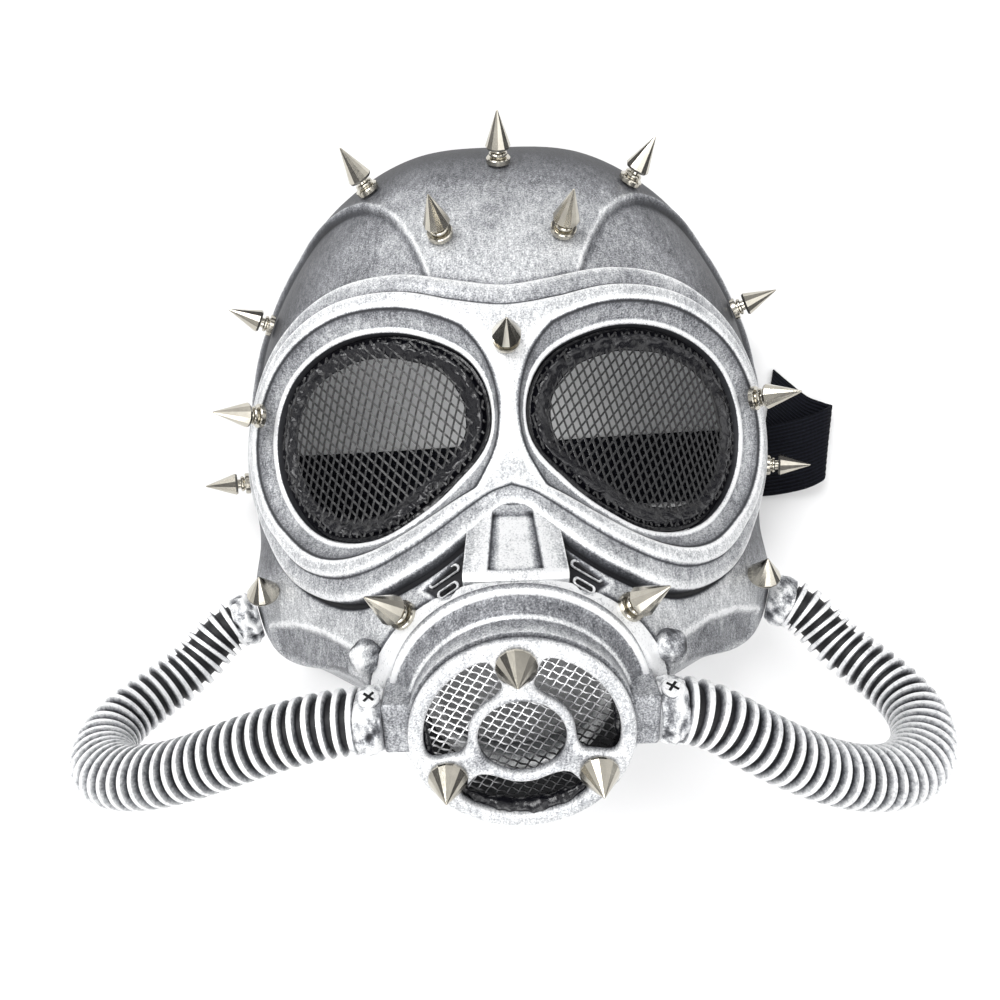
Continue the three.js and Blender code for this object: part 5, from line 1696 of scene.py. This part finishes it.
@dataclass
class Studio:
    """Pale floor, soft light and the camera of the photograph."""

    height: float = 262.0
    across: float = -3.0
    along: float = -10.0
    lens: float = 26.0
    lean: float = math.radians(-2.05)
    sky_power: float = 1.0

    def floor(self) -> bpy.types.Object:
        """Returns a large floor just under the rim."""
        mesh = bpy.data.meshes.new("floor")
        reach, level = 6.0, -0.0002
        mesh.from_pydata([(-reach, -reach, level), (reach, -reach, level), (reach, reach, level),
                          (-reach, reach, level)], [], [(0, 1, 2, 3)])
        piece = bpy.data.objects.new("floor", mesh)
        bpy.context.scene.collection.objects.link(piece)
        mesh.materials.append(PlainFloor("pale_floor").build())
        return piece

    def light(self, name: str, place: tuple, power: float, size: float, aim: tuple = (0, 0, 0.05)) -> None:
        """Adds a square soft light that faces a point."""
        lamp = bpy.data.lights.new(name, "AREA")
        lamp.energy = power
        lamp.size = size
        holder = bpy.data.objects.new(name, lamp)
        holder.location = place
        holder.rotation_euler = (Vector(aim) - Vector(place)).to_track_quat("-Z", "Y").to_euler()
        bpy.context.scene.collection.objects.link(holder)

    def bounce(self) -> None:
        """Adds the weak light that pale surroundings throw back under the mask."""
        lamp = bpy.data.lights.new("bounce", "POINT")
        lamp.energy = 0.035
        lamp.shadow_soft_size = 0.02
        holder = bpy.data.objects.new("bounce", lamp)
        holder.location = ((SHIFT + (0, 5, 48)) * MM).tolist()
        holder.visible_camera = False
        bpy.context.scene.collection.objects.link(holder)

    def sky(self) -> None:
        """Lights the scene from all round, with pale screens and dark gaps between them for the metal."""
        world = bpy.data.worlds.new("studio")
        bpy.context.scene.world = world
        world.use_nodes = True
        nodes, links = world.node_tree.nodes, world.node_tree.links
        place = nodes.new("ShaderNodeTexCoord")
        wave = nodes.new("ShaderNodeTexWave")
        wave.wave_type = "RINGS"
        wave.rings_direction = "Z"
        wave.inputs["Scale"].default_value = 0.9
        wave.inputs["Distortion"].default_value = 3.0
        wave.inputs["Detail"].default_value = 1.0
        ramp = nodes.new("ShaderNodeValToRGB")
        ramp.color_ramp.elements[0].position = 0.35
        ramp.color_ramp.elements[0].color = (0.12, 0.12, 0.13, 1)
        ramp.color_ramp.elements[1].position = 0.6
        ramp.color_ramp.elements[1].color = (1, 1, 1, 1)
        rays = nodes.new("ShaderNodeLightPath")
        plain = nodes.new("ShaderNodeMix")
        plain.data_type = "RGBA"
        plain.inputs["B"].default_value = (0.97, 0.97, 0.97, 1)
        links.new(place.outputs["Generated"], wave.inputs["Vector"])
        links.new(wave.outputs["Fac"], ramp.inputs[0])
        links.new(rays.outputs["Is Camera Ray"], plain.inputs["Factor"])
        links.new(ramp.outputs[0], plain.inputs["A"])
        links.new(plain.outputs["Result"], nodes["Background"].inputs[0])
        nodes["Background"].inputs[1].default_value = self.sky_power
        bpy.context.scene.view_settings.view_transform = "Standard"

    def build(self) -> None:
        """Makes the floor, the lights and the camera."""
        self.floor()
        self.sky()
        self.light("key", (-0.5, 0.6, 1.1), 14, 0.7)
        self.light("fill", (0.7, -0.1, 1.0), 4, 0.9)
        self.light("front", (-0.1, -0.8, 0.9), 7, 0.8)
        self.bounce()
        data = bpy.data.cameras.new("camera")
        data.lens = self.lens
        data.sensor_width = 36.0
        data.clip_start = 0.01
        camera = bpy.data.objects.new("camera", data)
        camera.location = (np.array([self.across, self.along, self.height]) + SHIFT) * MM
        camera.rotation_euler = (0, 0, self.lean)
        bpy.context.scene.collection.objects.link(camera)
        bpy.context.scene.camera = camera


@dataclass
class Screws:
    """Cross-head screws in the hose sockets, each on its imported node's own axis."""

    sides: int = 48
    arm: float = 0.62
    reach: float = 0.62

    def screw(self, node: str, finishes: Materials) -> None:
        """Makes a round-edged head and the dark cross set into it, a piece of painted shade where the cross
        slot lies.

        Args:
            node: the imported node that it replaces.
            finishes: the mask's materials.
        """
        low, high = (np.array(v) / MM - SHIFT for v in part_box(node))
        middle = (low + high) / 2
        corners = packed_corners(node) - SHIFT - middle
        direction = np.linalg.svd(corners - corners.mean(axis=0), full_matrices=False)[2][2]
        direction = direction * np.sign(direction[2])
        radius = np.linalg.norm(corners - (corners @ direction)[:, None] * direction, axis=1).max()
        height = np.ptp(corners @ direction)
        foot = middle - direction * height / 2
        section = np.array([(1, 0), (1, 0.5), (0.92, 0.82), (0.75, 0.97), (0.02, 1)]) * (radius, height)
        head = turned_section(section, turns(self.sides))
        tool = Spikes()
        paint = np.repeat(np.array([0.2, 0.8, 1.0, 0.9, 0.9])[:, None], self.sides, axis=1)
        piece = make_mesh(f"{node}_head", tool.lay(head, foot, direction),
                          grid_faces(len(section), self.sides, False, True), paint,
                          caps=ring_caps(len(section), self.sides))
        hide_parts(node)
        dress(piece, finishes.silver)
        # The dark cross is painted shade standing in for the cross slot
        half, long, top = self.arm / 2, radius * self.reach, height + 0.05
        arm = np.array([(half, half), (half, long), (-half, long)])
        plan = np.concatenate([arm, arm[:, ::-1] * (-1, 1), -arm, arm[:, ::-1] * (1, -1)])
        local = np.concatenate([np.column_stack([plan, np.full(12, v)]) for v in (height * 0.7, top)])
        cross = make_mesh(f"{node}_cross", tool.lay(local, foot, direction), grid_faces(2, 12, False, True),
                          caps=ring_caps(2, 12))
        dress(cross, finishes.hole)

    def build(self, finishes: Materials) -> None:
        """Makes both screws."""
        for word in ("right", "left"):
            self.screw(f"hose_screw_{word}", finishes)


def dress_kept(finishes: Materials) -> None:
    """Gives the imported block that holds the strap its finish."""
    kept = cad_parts["strap_anchor"]
    kept.data.materials.clear()
    kept.data.materials.append(finishes.anchor)


def main() -> None:
    """Builds the camera and the cords first, then every piece."""
    Studio().build()
    finishes = Materials.make()
    Hoses().build(finishes)
    ShellSkin().build(finishes)
    GoggleSurround().build(finishes)
    NosePanel().build(finishes)
    VentSlots().build(finishes)
    EyeMesh().build(finishes)
    Canister().build(finishes)
    Spikes().build(finishes)
    GluedEnds().build(finishes)
    Screws().build(finishes)
    HeadStrap().build(finishes)
    dress_kept(finishes)
    bpy.context.view_layer.update()


if __name__ == "__main__":
    main()
